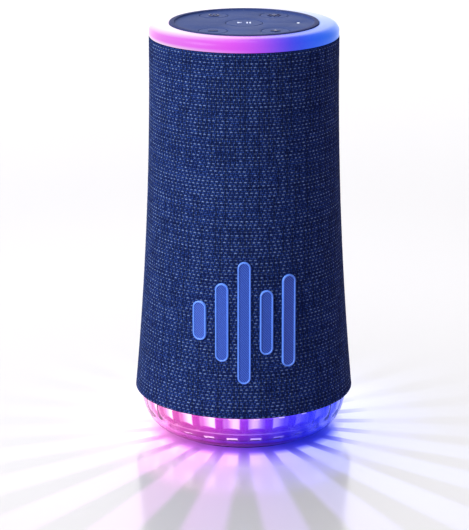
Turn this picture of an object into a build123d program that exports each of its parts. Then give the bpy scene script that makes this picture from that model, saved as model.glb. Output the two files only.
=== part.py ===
"""Cylindrical party speaker with a light ring on top and a clear, fluted light base.

Millimetres, +Z up, origin on the floor at the centre of the foot ring, front towards -Y.
Two full-range drivers fire to the front and rear, two passive radiators to the left and right.
"""

import os
from math import cos, radians, sin, sqrt

from build123d import *

# ---- outer skin --------------------------------------------------------------------------------
HEIGHT = 181.0  # floor to the lip of the control panel, the highest point
BASE_D = 96.0  # widest diameter, at the sleeve's lower edge
NECK_SHARE = 0.85  # the straight upper part's diameter as a share of it
SLEEVE_LOW = 18.0  # height of the sleeve's lower edge
SLEEVE_HIGH = HEIGHT - 6.0  # height of the sleeve's upper edge
FLARE_START = SLEEVE_HIGH - 7.0  # below this height the wall flares outwards
SLEEVE_T = 0.9  # fabric
GRILLE_T = 1.5  # perforated shell under the fabric
SKIN_GAP = 0.1  # between fabric and shell
FIT = 0.2  # clearance between parts that drop into each other

# ---- heights of the stack ----------------------------------------------------------------------
FOOT_T = 1.0
LENS_HIGH = 17.6  # top of the clear base, underside of the base frame
FRAME_T = 4.0  # base frame disc
CORE_HIGH = HEIGHT - 21.0  # top of the acoustic core
LID_T = 3.0
DECK_T = 2.0  # floor of the top frame
LEDGE_HIGH = HEIGHT - 9.8  # ledge that carries the key board

# ---- clear base --------------------------------------------------------------------------------
LENS_TOP_R = BASE_D / 2 - 2.6
LENS_FOOT_R = LENS_TOP_R - 10.8
LENS_T = 2.4
LENS_LIP_R = LENS_FOOT_R - 3.6  # inner edge of the lens's floor
FLUTES = 24  # flutes, light niches and lamps round the base
FLUTE_TURN = 180.0 / FLUTES  # a rib between two flutes faces the front
FLUTE_R = 9.0
FLUTE_DEPTH = 0.8
FLUTE_LOW = 11.5
CROWN_GAP = 0.3  # between the light crown and the lens
CROWN_T = 1.8
CROWN_FOOT_T = 1.2
NICHE_R = 5.2
NICHE_DEPTH = 0.9
BASE_PLATE_T = 2.0
FOOT_IN_R = LENS_FOOT_R - 8.6
POST_RADIUS = FOOT_IN_R - 4.0
POST_R = 3.5
LAMP_BOARD_T = 1.2
LAMP_BOARD_IN_R = POST_RADIUS + 5.0
LAMP = 2.2  # lamp body, square
LAMP_T = 0.8
LAMP_RADIUS = LENS_TOP_R - LENS_T - 1.8

# ---- acoustic core -----------------------------------------------------------------------------
CORE_GAP = 1.3  # between the core and the perforated shell, at the neck
CORE_T = 2.5
BOSS_INSET = 6.0  # boss centres inside the core's outer wall
BOSS_R = 2.8
BOSS_H = 10.0
BOSS_ANGLES = (35, 145, 215, 325)
SCREW_R = 1.1
SCREW_HEAD_R = 2.0
SCREW_HEAD_T = 1.2
SCREW_CLEAR = 0.1
SCREW_BITE = 8.0  # thread length in a boss

# ---- full-range driver, along its own axis: z = 0 is the back of its flange --------------------
DRIVER_FLANGE_R = 26.5
DRIVER_FLANGE_T = 2.0
DRIVER_MOUTH_R = DRIVER_FLANGE_R - 5.0
DRIVER_SCREW_RADIUS = DRIVER_FLANGE_R - 2.5
DRIVER_SCREW_R = 1.0
POD_WALL = 2.4
DRIVER_Z = CORE_HIGH - DRIVER_FLANGE_R - POD_WALL - 2.1  # height of both driver axes
BASKET_T = 1.0
BASKET_DEPTH = 11.5
SPIDER_SEAT = 8.0  # depth of the spider's seat
SPIDER_SEAT_R = DRIVER_MOUTH_R - 3.9
BASKET_BACK_R = SPIDER_SEAT_R - 1.6
SPIDER_T = 0.35
TOP_PLATE_T = 2.5
TOP_PLATE_R = BASKET_BACK_R - 1.5
MAGNET_T = 4.5
MAGNET_R = TOP_PLATE_R + 1.0
YOKE_T = 2.5
POLE_R = 6.1
GAP_R = 7.4  # bore of the top plate
COIL_IN_R = 6.45
COIL_OUT_R = 7.0
CONE_R = DRIVER_MOUTH_R - 4.2
CONE_T = 0.5
CONE_DEPTH = 6.0
ROLL_T = 0.5
ROLL_H = 1.8
CONE_TRAVEL = 2.0

# ---- passive radiator, same convention ---------------------------------------------------------
RADIATOR_Z = 63.0
RADIATOR_W = 38.0
RADIATOR_L = 66.0
RADIATOR_RIM = 3.0  # width of its frame
RADIATOR_FRAME_T = 2.0
RADIATOR_PLATE_W = 20.0
RADIATOR_PLATE_L = 48.0
RADIATOR_PLATE_T = 1.6

# ---- electronics -------------------------------------------------------------------------------
CELL_R = 9.2
CELL_L = 65.2
CELL_OFFSET = 9.7
TRAY_T = 2.8
CUP_T = 1.4
CUP_H = 12.0
TRAY_WALL_Y = 20.6
TRAY_WALL_T = 1.6
TRAY_WALL_W = 32.0
TRAY_WALL_H = 72.0
STANDOFF = 2.0
BOARD_T = 1.6
BOARD_W = 36.0
BOARD_H = 66.0
BOARD_LIFT = 5.0  # main board's lower edge above the core's floor

# ---- charging port -----------------------------------------------------------------------------
PORT_Z = 36.0
PORT_W = 13.4
PORT_H = 7.4
PORT_CORNER = 1.2
PORT_PROUD = 0.5  # bezel stands out of the fabric
BEZEL_RIM = 1.6
BEZEL_BACK_T = 1.4
BEZEL_BACK_GAP = 0.2  # between the bezel's back and the core
FLAP_T = 1.3
FLAP_SEAT = 1.4
FLAP_RIM = 1.0  # how far the flap's seat is wider than the pocket
FLAP_GAP = 0.2
FLAP_PLUG_T = 1.2
HINGE_X = -PORT_W / 2 + 0.1
HINGE_R = 1.0
HINGE_L = 4.8
SOCKET_W = 8.94
SOCKET_H = 3.26
SOCKET_L = 7.3
SOCKET_WALL = 0.35
TONGUE_W = 6.7
TONGUE_T = 0.7
PORT_BOARD_T = 1.0
PORT_BOARD_W = 10.0

# ---- top ---------------------------------------------------------------------------------------
PANEL_R = BASE_D * NECK_SHARE / 2 - 8.7
LIP_W = 2.2
DISH = 0.8  # the key field lies this far under the lip
PANEL_T = 2.6
SKIRT_T = 2.0
RING_RISE = 5.7  # height of the light ring over the sleeve's edge
RING_SHOULDER = 2.4
RING_WALL = 1.7
RING_ROOF = 2.0
RING_BOARD_T = 1.0
RING_LAMPS = 24
KEY_BOARD_T = 1.2
SWITCH = 3.6
SWITCH_T = 1.1
MEMBRANE_T = 0.8
KEY_GAP = 0.2
KEY_FLANGE = 0.9
KEY_FLANGE_T = 1.0
KEY_STOP_GAP = 0.1
KEY_STEM_R = 1.6
KEY_TRAVEL = 0.5
CENTRE_KEY_R = 0.244 * PANEL_R
OUTER_KEY_R = 0.189 * PANEL_R
KEY_X = 0.4085 * PANEL_R
KEY_Y = 0.564 * PANEL_R
ICON_H = 0.3
STATUS_X = 0.72 * PANEL_R
STATUS_R = 0.9

# ---- badge -------------------------------------------------------------------------------------
BADGE_Z = 60.0
BADGE_T = 0.9
BADGE_PITCH = 9.4
BADGE_BAR_W = 5.6
BADGE_BARS = (17.0, 34.0, 53.0, 28.0, 40.0)

# ---- values that follow ------------------------------------------------------------------------
BASE_R, NECK_R = BASE_D / 2, BASE_D * NECK_SHARE / 2
FLARE_DROP = FLARE_START - SLEEVE_LOW
FLARE_R = (FLARE_DROP**2 + (BASE_R - NECK_R) ** 2) / (2 * (BASE_R - NECK_R))
GRILLE_INSET = SLEEVE_T + SKIN_GAP
SKIN_T = GRILLE_INSET + GRILLE_T
CORE_R = NECK_R - SKIN_T - CORE_GAP
CORE_IN_R = CORE_R - CORE_T
BOSS_RADIUS = CORE_R - BOSS_INSET
BEZEL_BACK_Y = CORE_R + BEZEL_BACK_GAP
CORE_LOW = LENS_HIGH + FRAME_T
CORE_FLOOR = CORE_LOW + CORE_T
LID_TOP = CORE_HIGH + LID_T
DRIVER_SEAT = sqrt(CORE_R**2 - (DRIVER_FLANGE_R + FIT) ** 2) - DRIVER_FLANGE_T
RADIATOR_SEAT = sqrt(CORE_R**2 - (RADIATOR_W / 2 + FIT) ** 2) - RADIATOR_FRAME_T
KEY_FIELD = HEIGHT - DISH
PANEL_UNDER = KEY_FIELD - PANEL_T
BOARD_TOP = LEDGE_HIGH + KEY_BOARD_T
WEB_LOW = BOARD_TOP + SWITCH_T + SKIN_GAP
WEB_TOP = WEB_LOW + MEMBRANE_T
LENS_LIP_TOP = FOOT_T + LENS_T
PLATE_TOP = LENS_LIP_TOP + BASE_PLATE_T
BOARD_Y = TRAY_WALL_Y + TRAY_WALL_T + STANDOFF
BOARD_FACE = BOARD_Y + BOARD_T
BOARD_LOW = CORE_FLOOR + BOARD_LIFT

CENTRE_LOW = (Align.CENTER, Align.CENTER, Align.MIN)


# ---- helpers -----------------------------------------------------------------------------------
def skin_radius(height, inset=0.0):
    """Radius of the outer skin at a height, or of the surface `inset` mm inside it."""
    if height >= FLARE_START:
        return NECK_R - inset
    reach = FLARE_R + inset
    return NECK_R + FLARE_R - sqrt(reach**2 - (FLARE_START - height) ** 2)


def disc(radius, low, high, x=0.0, y=0.0):
    return Pos(x, y, low) * Cylinder(radius, high - low, align=CENTRE_LOW)


def ring(outer, inner, low, high):
    return disc(outer, low, high) - disc(inner, low - 1, high + 1)


def slab(x_low, x_high, y_low, y_high, z_low, z_high):
    corner = (Align.MIN, Align.MIN, Align.MIN)
    return Pos(x_low, y_low, z_low) * Box(x_high - x_low, y_high - y_low, z_high - z_low, align=corner)


def spin(*edges):
    """Solid of revolution about Z from edges drawn as (radius, height)."""
    return revolve(make_face(Plane.XZ * (Curve() + list(edges))), Axis.Z)


def spin_polygon(*points):
    return spin(Polyline(*points, close=True))


def skin_shell(low, high, inset_out, inset_in):
    """Shell that follows the outer skin between two heights and two insets."""
    middle = (low + FLARE_START) / 2

    def arc(inset):
        points = [(skin_radius(z, inset), z) for z in (low, middle, FLARE_START)]
        return ThreePointArc(*points)

    outer, inner = arc(inset_out), arc(inset_in)
    top = Polyline(outer @ 1, (NECK_R - inset_out, high), (NECK_R - inset_in, high), inner @ 1)
    return spin(outer, top, inner, Line(inner @ 0, outer @ 0))


def around(count, make, start=0.0):
    """`count` copies of make() spread about Z."""
    return [Rot(0, 0, start + 360 * i / count) * make() for i in range(count)]


def at_angles(angles, radius):
    return [(radius * cos(radians(a)), radius * sin(radians(a))) for a in angles]


def screw(length, shank=SCREW_R, head=SCREW_HEAD_R):
    """Pan-head screw with a cross recess: the head stands on z = 0 and the shank points down."""
    body = disc(head, 0, SCREW_HEAD_T) + disc(shank, -length, 0)
    slot = Box(2 * shank, 0.4, SCREW_HEAD_T / 2)
    return body - Pos(0, 0, SCREW_HEAD_T) * (slot + Rot(0, 0, 90) * slot)


def rounded_bar(width, height, corner, y_low, y_high, x=0.0, z=0.0):
    """Rounded rectangle in XZ, extruded along Y."""
    face = Plane((x, y_high, z), x_dir=(1, 0, 0), z_dir=(0, -1, 0)) * RectangleRounded(width, height, corner)
    return extrude(face, y_high - y_low)


def racetrack(width, length, low, high):
    return Pos(0, 0, low) * extrude(SlotOverall(length, width, rotation=90), high - low)


# ---- outer skin and badge ----------------------------------------------------------------------
def port_hole():
    outer_w, outer_h = PORT_W + 2 * BEZEL_RIM, PORT_H + 2 * BEZEL_RIM
    corner = PORT_CORNER + BEZEL_RIM
    return rounded_bar(outer_w + 2 * FIT, outer_h + 2 * FIT, corner, CORE_R, BASE_R + 9, z=PORT_Z)


def fabric_sleeve():
    return skin_shell(SLEEVE_LOW, SLEEVE_HIGH, 0.0, SLEEVE_T) - port_hole()


def grille_shell():
    slot_w, slot_h, rows, columns, first, pitch = 8.0, 15.0, 7, 18, 36.0, 20.0
    low, high = CORE_LOW, LEDGE_HIGH
    shell = skin_shell(low, high, GRILLE_INSET, SKIN_T)
    step = min(pitch, (high - first - slot_h) / (rows - 1))
    slots = []
    for row in range(rows):
        for column in range(columns):
            angle = 360 * (column + 0.5) / columns
            at_port = row == 0 and abs(angle - 180) < 360 / columns
            if at_port:
                continue
            height, centre = min(slot_h, step - 3), first + row * step
            cut = rounded_bar(slot_w, height, 2.5, -BASE_R - 9, -CORE_R + 6, z=centre)
            slots.append(Rot(0, 0, angle) * cut)
    return shell - slots - port_hole()


def badge_bars():
    shell = skin_shell(SLEEVE_LOW + 1, SLEEVE_HIGH - 1, -BADGE_T, -SKIN_GAP / 5)
    middle = (len(BADGE_BARS) - 1) / 2
    bars = []
    for i, height in enumerate(BADGE_BARS):
        x = (i - middle) * BADGE_PITCH
        prism = rounded_bar(BADGE_BAR_W, height, BADGE_BAR_W * 0.49, -BASE_R - 9, 0, x=x, z=BADGE_Z)
        bars.append(prism & shell)
    return Compound(bars)


# ---- acoustic core -----------------------------------------------------------------------------
def driver_planes():
    front = Plane((0, -DRIVER_SEAT, DRIVER_Z), x_dir=(1, 0, 0), z_dir=(0, -1, 0))
    rear = Plane((0, DRIVER_SEAT, DRIVER_Z), x_dir=(-1, 0, 0), z_dir=(0, 1, 0))
    return {"front": front, "rear": rear}


def radiator_planes():
    left = Plane((-RADIATOR_SEAT, 0, RADIATOR_Z), x_dir=(0, -1, 0), z_dir=(-1, 0, 0))
    right = Plane((RADIATOR_SEAT, 0, RADIATOR_Z), x_dir=(0, 1, 0), z_dir=(1, 0, 0))
    return {"left": left, "right": right}


def driver_screw_spots():
    return at_angles((45, 135, 225, 315), DRIVER_SCREW_RADIUS)


def acoustic_core():
    body = disc(CORE_R, CORE_LOW, CORE_HIGH) - disc(CORE_IN_R, CORE_FLOOR, CORE_HIGH + 1)
    drum = disc(CORE_R, CORE_FLOOR, CORE_HIGH)
    depth = CORE_R
    for x, y in at_angles(BOSS_ANGLES, BOSS_RADIUS):
        body += disc(BOSS_R, CORE_FLOOR, CORE_FLOOR + BOSS_H, x, y)
        body += disc(BOSS_R, CORE_HIGH - BOSS_H, CORE_HIGH, x, y)
    for plane in driver_planes().values():
        pod = plane.location * disc(DRIVER_FLANGE_R + POD_WALL, -POD_WALL - 1, depth)
        body += pod & drum
    for plane in radiator_planes().values():
        pod = plane.location * racetrack(RADIATOR_W + 4, RADIATOR_L + 4, -POD_WALL, depth)
        body += pod & drum
    for plane in driver_planes().values():
        cut = disc(DRIVER_FLANGE_R + FIT, 0, depth) + disc(DRIVER_MOUTH_R + BASKET_T + FIT, -depth / 2, 1)
        cut += [disc(DRIVER_SCREW_R + SCREW_CLEAR, -POD_WALL, 1, x, y) for x, y in driver_screw_spots()]
        body -= plane.location * cut
    for plane in radiator_planes().values():
        opening_w, opening_l = RADIATOR_W - 2 * RADIATOR_RIM, RADIATOR_L - 2 * RADIATOR_RIM
        cut = racetrack(RADIATOR_W + 2 * FIT, RADIATOR_L + 2 * FIT, 0, depth)
        body -= plane.location * (cut + racetrack(opening_w, opening_l, -depth / 2, 1))
    for x, y in at_angles(BOSS_ANGLES, BOSS_RADIUS):
        body -= disc(SCREW_R + SCREW_CLEAR, CORE_LOW - 1, CORE_LOW + SCREW_BITE, x, y)
        body -= disc(SCREW_R + SCREW_CLEAR, CORE_HIGH - SCREW_BITE, CORE_HIGH + 1, x, y)
    seal_groove = ring(CORE_IN_R + 1.7, CORE_IN_R + 0.8, CORE_HIGH - 0.7, CORE_HIGH + 1)
    socket_w, socket_h = PORT_BOARD_W + 2 * FIT, SOCKET_H + PORT_BOARD_T + 2 * FIT
    socket_z = PORT_Z - PORT_BOARD_T / 2
    return body - seal_groove - rounded_bar(socket_w, socket_h, 0.4, CORE_IN_R - 6, CORE_R + 1, z=socket_z)


def core_lid():
    spigot = CORE_IN_R - FIT
    lid = disc(CORE_R, CORE_HIGH, LID_TOP) + ring(spigot, spigot - 2, CORE_HIGH - 2, CORE_HIGH + 1)
    for x, y in at_angles(BOSS_ANGLES, BOSS_RADIUS):
        lid -= disc(BOSS_R + FIT, CORE_HIGH - 3, CORE_HIGH, x, y)
        lid -= disc(SCREW_R + SCREW_CLEAR, CORE_HIGH - 3, LID_TOP + 1, x, y)
    return lid


def lid_seal():
    section = Circle(0.35)
    return revolve(Plane.XZ * Pos(CORE_IN_R + 1.25, CORE_HIGH - 0.35) * section, Axis.Z)


def upper_screws():
    length = DECK_T + LID_T + SCREW_BITE - 1
    return [Pos(x, y, LID_TOP + DECK_T) * screw(length) for x, y in at_angles(BOSS_ANGLES, BOSS_RADIUS)]


# ---- full-range drivers, each made along its own axis ------------------------------------------
def basket():
    mouth, flange, back = DRIVER_MOUTH_R, DRIVER_FLANGE_R, -BASKET_DEPTH
    shell = spin_polygon(
        (mouth, DRIVER_FLANGE_T), (flange, DRIVER_FLANGE_T), (flange, 0), (mouth + BASKET_T, 0),
        (SPIDER_SEAT_R + BASKET_T, -SPIDER_SEAT), (SPIDER_SEAT_R + BASKET_T, -SPIDER_SEAT - BASKET_T),
        (BASKET_BACK_R + BASKET_T, -SPIDER_SEAT - BASKET_T), (BASKET_BACK_R + BASKET_T, back),
        (GAP_R + 1, back), (GAP_R + 1, back + BASKET_T), (BASKET_BACK_R - BASKET_T, back + BASKET_T),
        (BASKET_BACK_R - BASKET_T, -SPIDER_SEAT), (SPIDER_SEAT_R, -SPIDER_SEAT), (mouth, -BASKET_T),
    )
    window = Pos(0, 0, -SPIDER_SEAT / 2 - 0.2) * Box(2 * flange, 9, SPIDER_SEAT - 3)
    for turn in (0, 60, 120):
        shell -= Rot(0, 0, turn) * window - disc(SPIDER_SEAT_R - 4, -20, 5)
    holes = [disc(DRIVER_SCREW_R + SCREW_CLEAR, -1, 3, x, y) for x, y in driver_screw_spots()]
    return shell - holes


def top_plate():
    return ring(TOP_PLATE_R, GAP_R, -BASKET_DEPTH - TOP_PLATE_T, -BASKET_DEPTH)


def magnet():
    high = -BASKET_DEPTH - TOP_PLATE_T
    return ring(MAGNET_R, GAP_R + 1.2, high - MAGNET_T, high)


def yoke():
    high = -BASKET_DEPTH - TOP_PLATE_T - MAGNET_T
    return disc(TOP_PLATE_R, high - YOKE_T, high) + disc(POLE_R, high - 1, -BASKET_DEPTH)


def cone():
    """Cone, its dust cap and the collar that carries the spider, in one profile."""
    neck, edge, low, crown = COIL_OUT_R + 0.1, CONE_R, -CONE_DEPTH, -CONE_DEPTH + 2.8
    seat, joint, collar = low + 0.5, (neck + 0.9, low + 1.1), SPIDER_T - SPIDER_SEAT
    return spin(
        TangentArc((0, crown), joint, tangent=(1, 0)),
        Polyline(joint, (edge - 1, CONE_T), (edge, CONE_T), (edge, 0), (neck + 0.6, low)),
        Polyline((neck + 0.6, low), (neck + 0.6, collar), (neck - 0.2, collar), (neck - 0.2, seat)),
        Line((neck - 0.2, seat), (COIL_IN_R, seat)),
        TangentArc((0, crown - 0.5), (COIL_IN_R, seat), tangent=(1, 0)),
        Line((0, crown - 0.5), (0, crown)),
    )


def voice_coil():
    low = -BASKET_DEPTH - TOP_PLATE_T - 0.6
    former = ring(COIL_IN_R + 0.25, COIL_IN_R, low, -CONE_DEPTH + 0.5)
    winding = ring(COIL_OUT_R, COIL_IN_R + 0.25, low + 0.2, low + TOP_PLATE_T + 1)
    return former + winding


def surround():
    inner, outer, base = CONE_R - 0.8, DRIVER_MOUTH_R + 0.5, DRIVER_FLANGE_T
    crest_in, crest_out = CONE_R + 0.2, DRIVER_MOUTH_R - 0.2
    middle, t = (crest_in + crest_out) / 2, ROLL_T
    low = CONE_T
    return spin(
        Polyline((inner, low), (inner, low + t), (crest_in, low + t)),
        ThreePointArc((crest_in, low + t), (middle, base + ROLL_H + t), (crest_out, base + t)),
        Polyline((crest_out, base + t), (outer, base + t), (outer, base), (crest_out - t, base)),
        ThreePointArc((crest_out - t, base), (middle, base + ROLL_H), (crest_in + t, low)),
        Line((crest_in + t, low), (inner, low)),
    )


def spider():
    hub, inner, outer, waves = COIL_OUT_R + 0.1, COIL_OUT_R + 1.0, SPIDER_SEAT_R - FIT, 4
    step = (outer - inner) / (2 * waves)
    base, lift = -SPIDER_SEAT, 0.9
    crest = [(hub, base)] + [(inner + i * step, base + (lift if i % 2 else 0)) for i in range(2 * waves + 1)]
    return spin_polygon(*crest, *[(r, z + SPIDER_T) for r, z in reversed(crest)])


def driver_screws():
    made = []
    for plane in driver_planes().values():
        for x, y in driver_screw_spots():
            fastener = screw(DRIVER_FLANGE_T + POD_WALL - 0.4, DRIVER_SCREW_R, 1.8)
            made.append(plane.location * Pos(x, y, DRIVER_FLANGE_T) * fastener)
    return made


# ---- passive radiators -------------------------------------------------------------------------
def radiator_frame():
    opening_w, opening_l = RADIATOR_W - 2 * RADIATOR_RIM, RADIATOR_L - 2 * RADIATOR_RIM
    return racetrack(RADIATOR_W, RADIATOR_L, 0, RADIATOR_FRAME_T) - racetrack(opening_w, opening_l, -1, 9)


def radiator_plate():
    plate = racetrack(RADIATOR_PLATE_W, RADIATOR_PLATE_L, 0, RADIATOR_PLATE_T)
    return plate - racetrack(RADIATOR_PLATE_W - 8, RADIATOR_PLATE_L - 8, RADIATOR_PLATE_T - 0.5, 9)


def radiator_surround():
    """Flat lips on the frame's and the plate's faces, joined by a raised bead."""
    lip, t, bead = 1.4, 0.5, 1.8
    opening_w, opening_l = RADIATOR_W - 2 * RADIATOR_RIM, RADIATOR_L - 2 * RADIATOR_RIM
    face, plate_face = RADIATOR_FRAME_T, RADIATOR_PLATE_T
    outer = racetrack(opening_w + lip, opening_l + lip, face, face + t)
    outer -= racetrack(opening_w - lip, opening_l - lip, 0, 9)
    inner_w, inner_l = RADIATOR_PLATE_W - lip, RADIATOR_PLATE_L - lip
    inner = racetrack(RADIATOR_PLATE_W + lip, RADIATOR_PLATE_L + lip, plate_face, face + t)
    inner -= racetrack(inner_w, inner_l, 0, 9)
    bead_out = racetrack(opening_w - lip + 1, opening_l - lip + 1, face, face + bead)
    bead_out = fillet(bead_out.edges().group_by(Axis.Z)[-1], 1.2)
    bead_in = racetrack(RADIATOR_PLATE_W + lip - 1, RADIATOR_PLATE_L + lip - 1, face - 1, face + bead + 1)
    hollow = racetrack(opening_w - lip, opening_l - lip, 0, face + bead - t)
    hollow -= racetrack(RADIATOR_PLATE_W + lip, RADIATOR_PLATE_L + lip, -1, 9)
    return outer + inner + (bead_out - bead_in) - hollow


# ---- battery and boards ------------------------------------------------------------------------
def cell_spots():
    return [(0, -CELL_OFFSET), (0, CELL_OFFSET)]


def battery_cells():
    low = CORE_FLOOR + TRAY_T
    cells = []
    for x, y in cell_spots():
        can = disc(CELL_R, low, low + CELL_L, x, y)
        can = fillet(can.edges().group_by(Axis.Z)[-1], 0.8)
        cells.append(can + disc(CELL_R * 0.35, low + CELL_L, low + CELL_L + 0.8, x, y))
    return cells


def battery_tray():
    low = CORE_FLOOR
    tray = slab(-12, 12, -CELL_OFFSET - CELL_R - 2, TRAY_WALL_Y, low, low + TRAY_T)
    for x, y in cell_spots():
        tray += disc(CELL_R + FIT + CUP_T, low, low + TRAY_T + CUP_H, x, y)
    half, wall_back = TRAY_WALL_W / 2, TRAY_WALL_Y + TRAY_WALL_T
    tray += slab(-half, half, TRAY_WALL_Y, wall_back, low, low + TRAY_WALL_H)
    tray += slab(-8, 8, CELL_OFFSET, TRAY_WALL_Y, low, low + TRAY_T + CUP_H)
    for x, z in board_spots():
        tray += Plane((x, BOARD_Y, z), z_dir=(0, -1, 0)).location * disc(2.2, 0, STANDOFF + 0.5)
    for x, y in cell_spots():
        tray -= disc(CELL_R + FIT, low + TRAY_T, low + TRAY_WALL_H, x, y)
    return tray


def board_spots():
    edge_x, edge_z = TRAY_WALL_W / 2 - 3, 4.0
    return [(x, z) for x in (-edge_x, edge_x) for z in (BOARD_LOW + edge_z, BOARD_LOW + BOARD_H - edge_z - 6)]


def main_board():
    """Circuit board with its processor, amplifier, coils, capacitors and sockets as separate solids."""
    face = BOARD_FACE
    board = slab(-BOARD_W / 2, BOARD_W / 2, BOARD_Y, face, BOARD_LOW, BOARD_LOW + BOARD_H)
    parts = [board]
    chips = ((-9, 22, 10, 10, 1.2), (8, 24, 7, 7, 1.0), (9, 42, 9, 6, 1.0), (-10, 40, 5, 5, 0.9))
    for x, z, w, h, t in chips:
        parts.append(slab(x - w / 2, x + w / 2, face, face + t, BOARD_LOW + z - h / 2, BOARD_LOW + z + h / 2))
    for x, z in ((-8, 54), (8, 54)):
        coil = slab(x - 3.5, x + 3.5, face, face + 3.2, BOARD_LOW + z - 3.5, BOARD_LOW + z + 3.5)
        parts.append(fillet(coil.edges().filter_by(Axis.Y), 1.2))
    for x in (-13, 13):
        for z in (30, 40):
            can = Plane((x, face, BOARD_LOW + z), z_dir=(0, 1, 0)).location * disc(2.0, 0, 3.4)
            parts.append(can)
    for x in (-12, -4, 4, 12):
        edge = BOARD_LOW + BOARD_H - 0.5
        parts.append(slab(x - 3, x + 3, face, face + 2.6, edge - 4, edge))
    return parts


# ---- charging port -----------------------------------------------------------------------------
def port_face():
    return skin_radius(PORT_Z) + PORT_PROUD


def socket_mouth():
    return BEZEL_BACK_Y + BEZEL_BACK_T + 0.3


def usb_socket():
    """Reversible charging socket: a stadium shell, its back wall and the contact tongue."""
    mouth = socket_mouth()
    low = mouth - SOCKET_L
    shell = rounded_bar(SOCKET_W, SOCKET_H, SOCKET_H * 0.49, low, mouth, z=PORT_Z)
    inner_w, inner_h = SOCKET_W - 2 * SOCKET_WALL, SOCKET_H - 2 * SOCKET_WALL
    shell -= rounded_bar(inner_w, inner_h, inner_h * 0.49, low + 1.0, mouth + 1, z=PORT_Z)
    half_w, half_t = TONGUE_W / 2, TONGUE_T / 2
    tongue = slab(-half_w, half_w, low + 0.5, mouth - 0.8, PORT_Z - half_t, PORT_Z + half_t)
    return shell + tongue


def port_board():
    top = PORT_Z - SOCKET_H / 2
    return slab(-PORT_BOARD_W / 2, PORT_BOARD_W / 2, BOARD_FACE, CORE_R - 0.4, top - PORT_BOARD_T, top)


def port_bezel():
    face = port_face()
    outer_w, outer_h = PORT_W + 2 * BEZEL_RIM, PORT_H + 2 * BEZEL_RIM
    body = rounded_bar(outer_w, outer_h, PORT_CORNER + BEZEL_RIM, BEZEL_BACK_Y, face, z=PORT_Z)
    body = chamfer(body.edges().group_by(Axis.Y)[-1], 0.25)
    body -= rounded_bar(PORT_W, PORT_H, PORT_CORNER, BEZEL_BACK_Y + BEZEL_BACK_T, face + 1, z=PORT_Z)
    seat_w, seat_h = PORT_W + 2 * FLAP_RIM, PORT_H + 2 * FLAP_RIM
    body -= rounded_bar(seat_w, seat_h, PORT_CORNER + FLAP_RIM, face - FLAP_SEAT, face + 1, z=PORT_Z)
    hole_h = SOCKET_H + 2 * FIT
    body -= rounded_bar(SOCKET_W + 2 * FIT, hole_h, hole_h * 0.49, BEZEL_BACK_Y - 1, face, z=PORT_Z)
    hinge_y = face - FLAP_T / 2 - 0.05
    depth = hinge_y - HINGE_R - FLAP_GAP
    half = HINGE_L / 2 + FLAP_GAP
    body -= slab(HINGE_X - HINGE_R - FLAP_GAP, HINGE_X + 2, depth, face + 1, PORT_Z - half, PORT_Z + half)
    nail_x = PORT_W / 2 + FLAP_RIM
    return body - slab(nail_x - 0.5, nail_x + 2, face - FLAP_SEAT * 0.8, face + 1, PORT_Z - 2, PORT_Z + 2)


def port_flap():
    """Rubber cover: a plate, a plug behind it and the bead that it turns on."""
    face = port_face() - 0.05
    low = face - FLAP_T
    right = PORT_W / 2 + FLAP_RIM - FLAP_GAP
    left = HINGE_X + HINGE_R
    height = PORT_H + 2 * (FLAP_RIM - FLAP_GAP)
    plate = rounded_bar(right - left, height, PORT_CORNER + 0.6, low, face, x=(right + left) / 2, z=PORT_Z)
    plug_left, plug_right = HINGE_X + 3.1, PORT_W / 2 - 0.5
    plug_w, plug_x = plug_right - plug_left, (plug_left + plug_right) / 2
    plug = rounded_bar(plug_w, PORT_H - 1.6, PORT_CORNER, low - FLAP_PLUG_T, low, x=plug_x, z=PORT_Z)
    bead_y = face - FLAP_T / 2
    bead = Pos(HINGE_X, bead_y, PORT_Z) * Cylinder(HINGE_R, HINGE_L)
    web = slab(HINGE_X, left + 1.5, bead_y - 0.45, bead_y + 0.45, PORT_Z - HINGE_L / 2, PORT_Z + HINGE_L / 2)
    return plate + plug + bead + web


# ---- base --------------------------------------------------------------------------------------
def base_frame():
    outer = skin_radius(CORE_LOW, GRILLE_INSET)
    frame = disc(outer, LENS_HIGH, CORE_LOW)
    frame += [disc(POST_R, PLATE_TOP, LENS_HIGH, x, y) for x, y in at_angles(BOSS_ANGLES, POST_RADIUS)]
    frame -= disc(9, LENS_HIGH - 1, CORE_LOW + 1)
    for x, y in at_angles(BOSS_ANGLES, BOSS_RADIUS):
        frame -= disc(SCREW_HEAD_R + FIT, LENS_HIGH - 1, LENS_HIGH + SCREW_HEAD_T + FIT, x, y)
        frame -= disc(SCREW_R + SCREW_CLEAR, LENS_HIGH - 1, CORE_LOW + 1, x, y)
    for x, y in at_angles(BOSS_ANGLES, POST_RADIUS):
        frame -= disc(SCREW_R + SCREW_CLEAR, PLATE_TOP - 1, PLATE_TOP + SCREW_BITE, x, y)
    return frame


def base_lens():
    foot, top, low, high = LENS_FOOT_R, LENS_TOP_R, FOOT_T, LENS_HIGH
    outer = EllipticalCenterArc((foot, high), top - foot, high - low, 270, arc_size=90)
    inner = EllipticalCenterArc((foot, high), top - foot - LENS_T, high - low - LENS_T, 270, arc_size=90)
    rim = Line(outer @ 1, inner @ 1)
    floor = Polyline(inner @ 0, (LENS_LIP_R, LENS_LIP_TOP), (LENS_LIP_R, low), outer @ 0)
    bowl = spin(outer, rim, inner, floor)
    centre = top - LENS_T + FLUTE_DEPTH - FLUTE_R
    flutes = around(FLUTES, lambda: disc(FLUTE_R, FLUTE_LOW, high + 1, centre), FLUTE_TURN)
    return bowl - flutes


def lens_wall(height, inset):
    """Radius at a height of the bowl that lies `inset` mm inside the lens's outer face."""
    wide, deep = LENS_TOP_R - LENS_FOOT_R - inset, LENS_HIGH - FOOT_T - inset
    return LENS_FOOT_R + wide * sqrt(1 - ((LENS_HIGH - height) / deep) ** 2)


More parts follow.
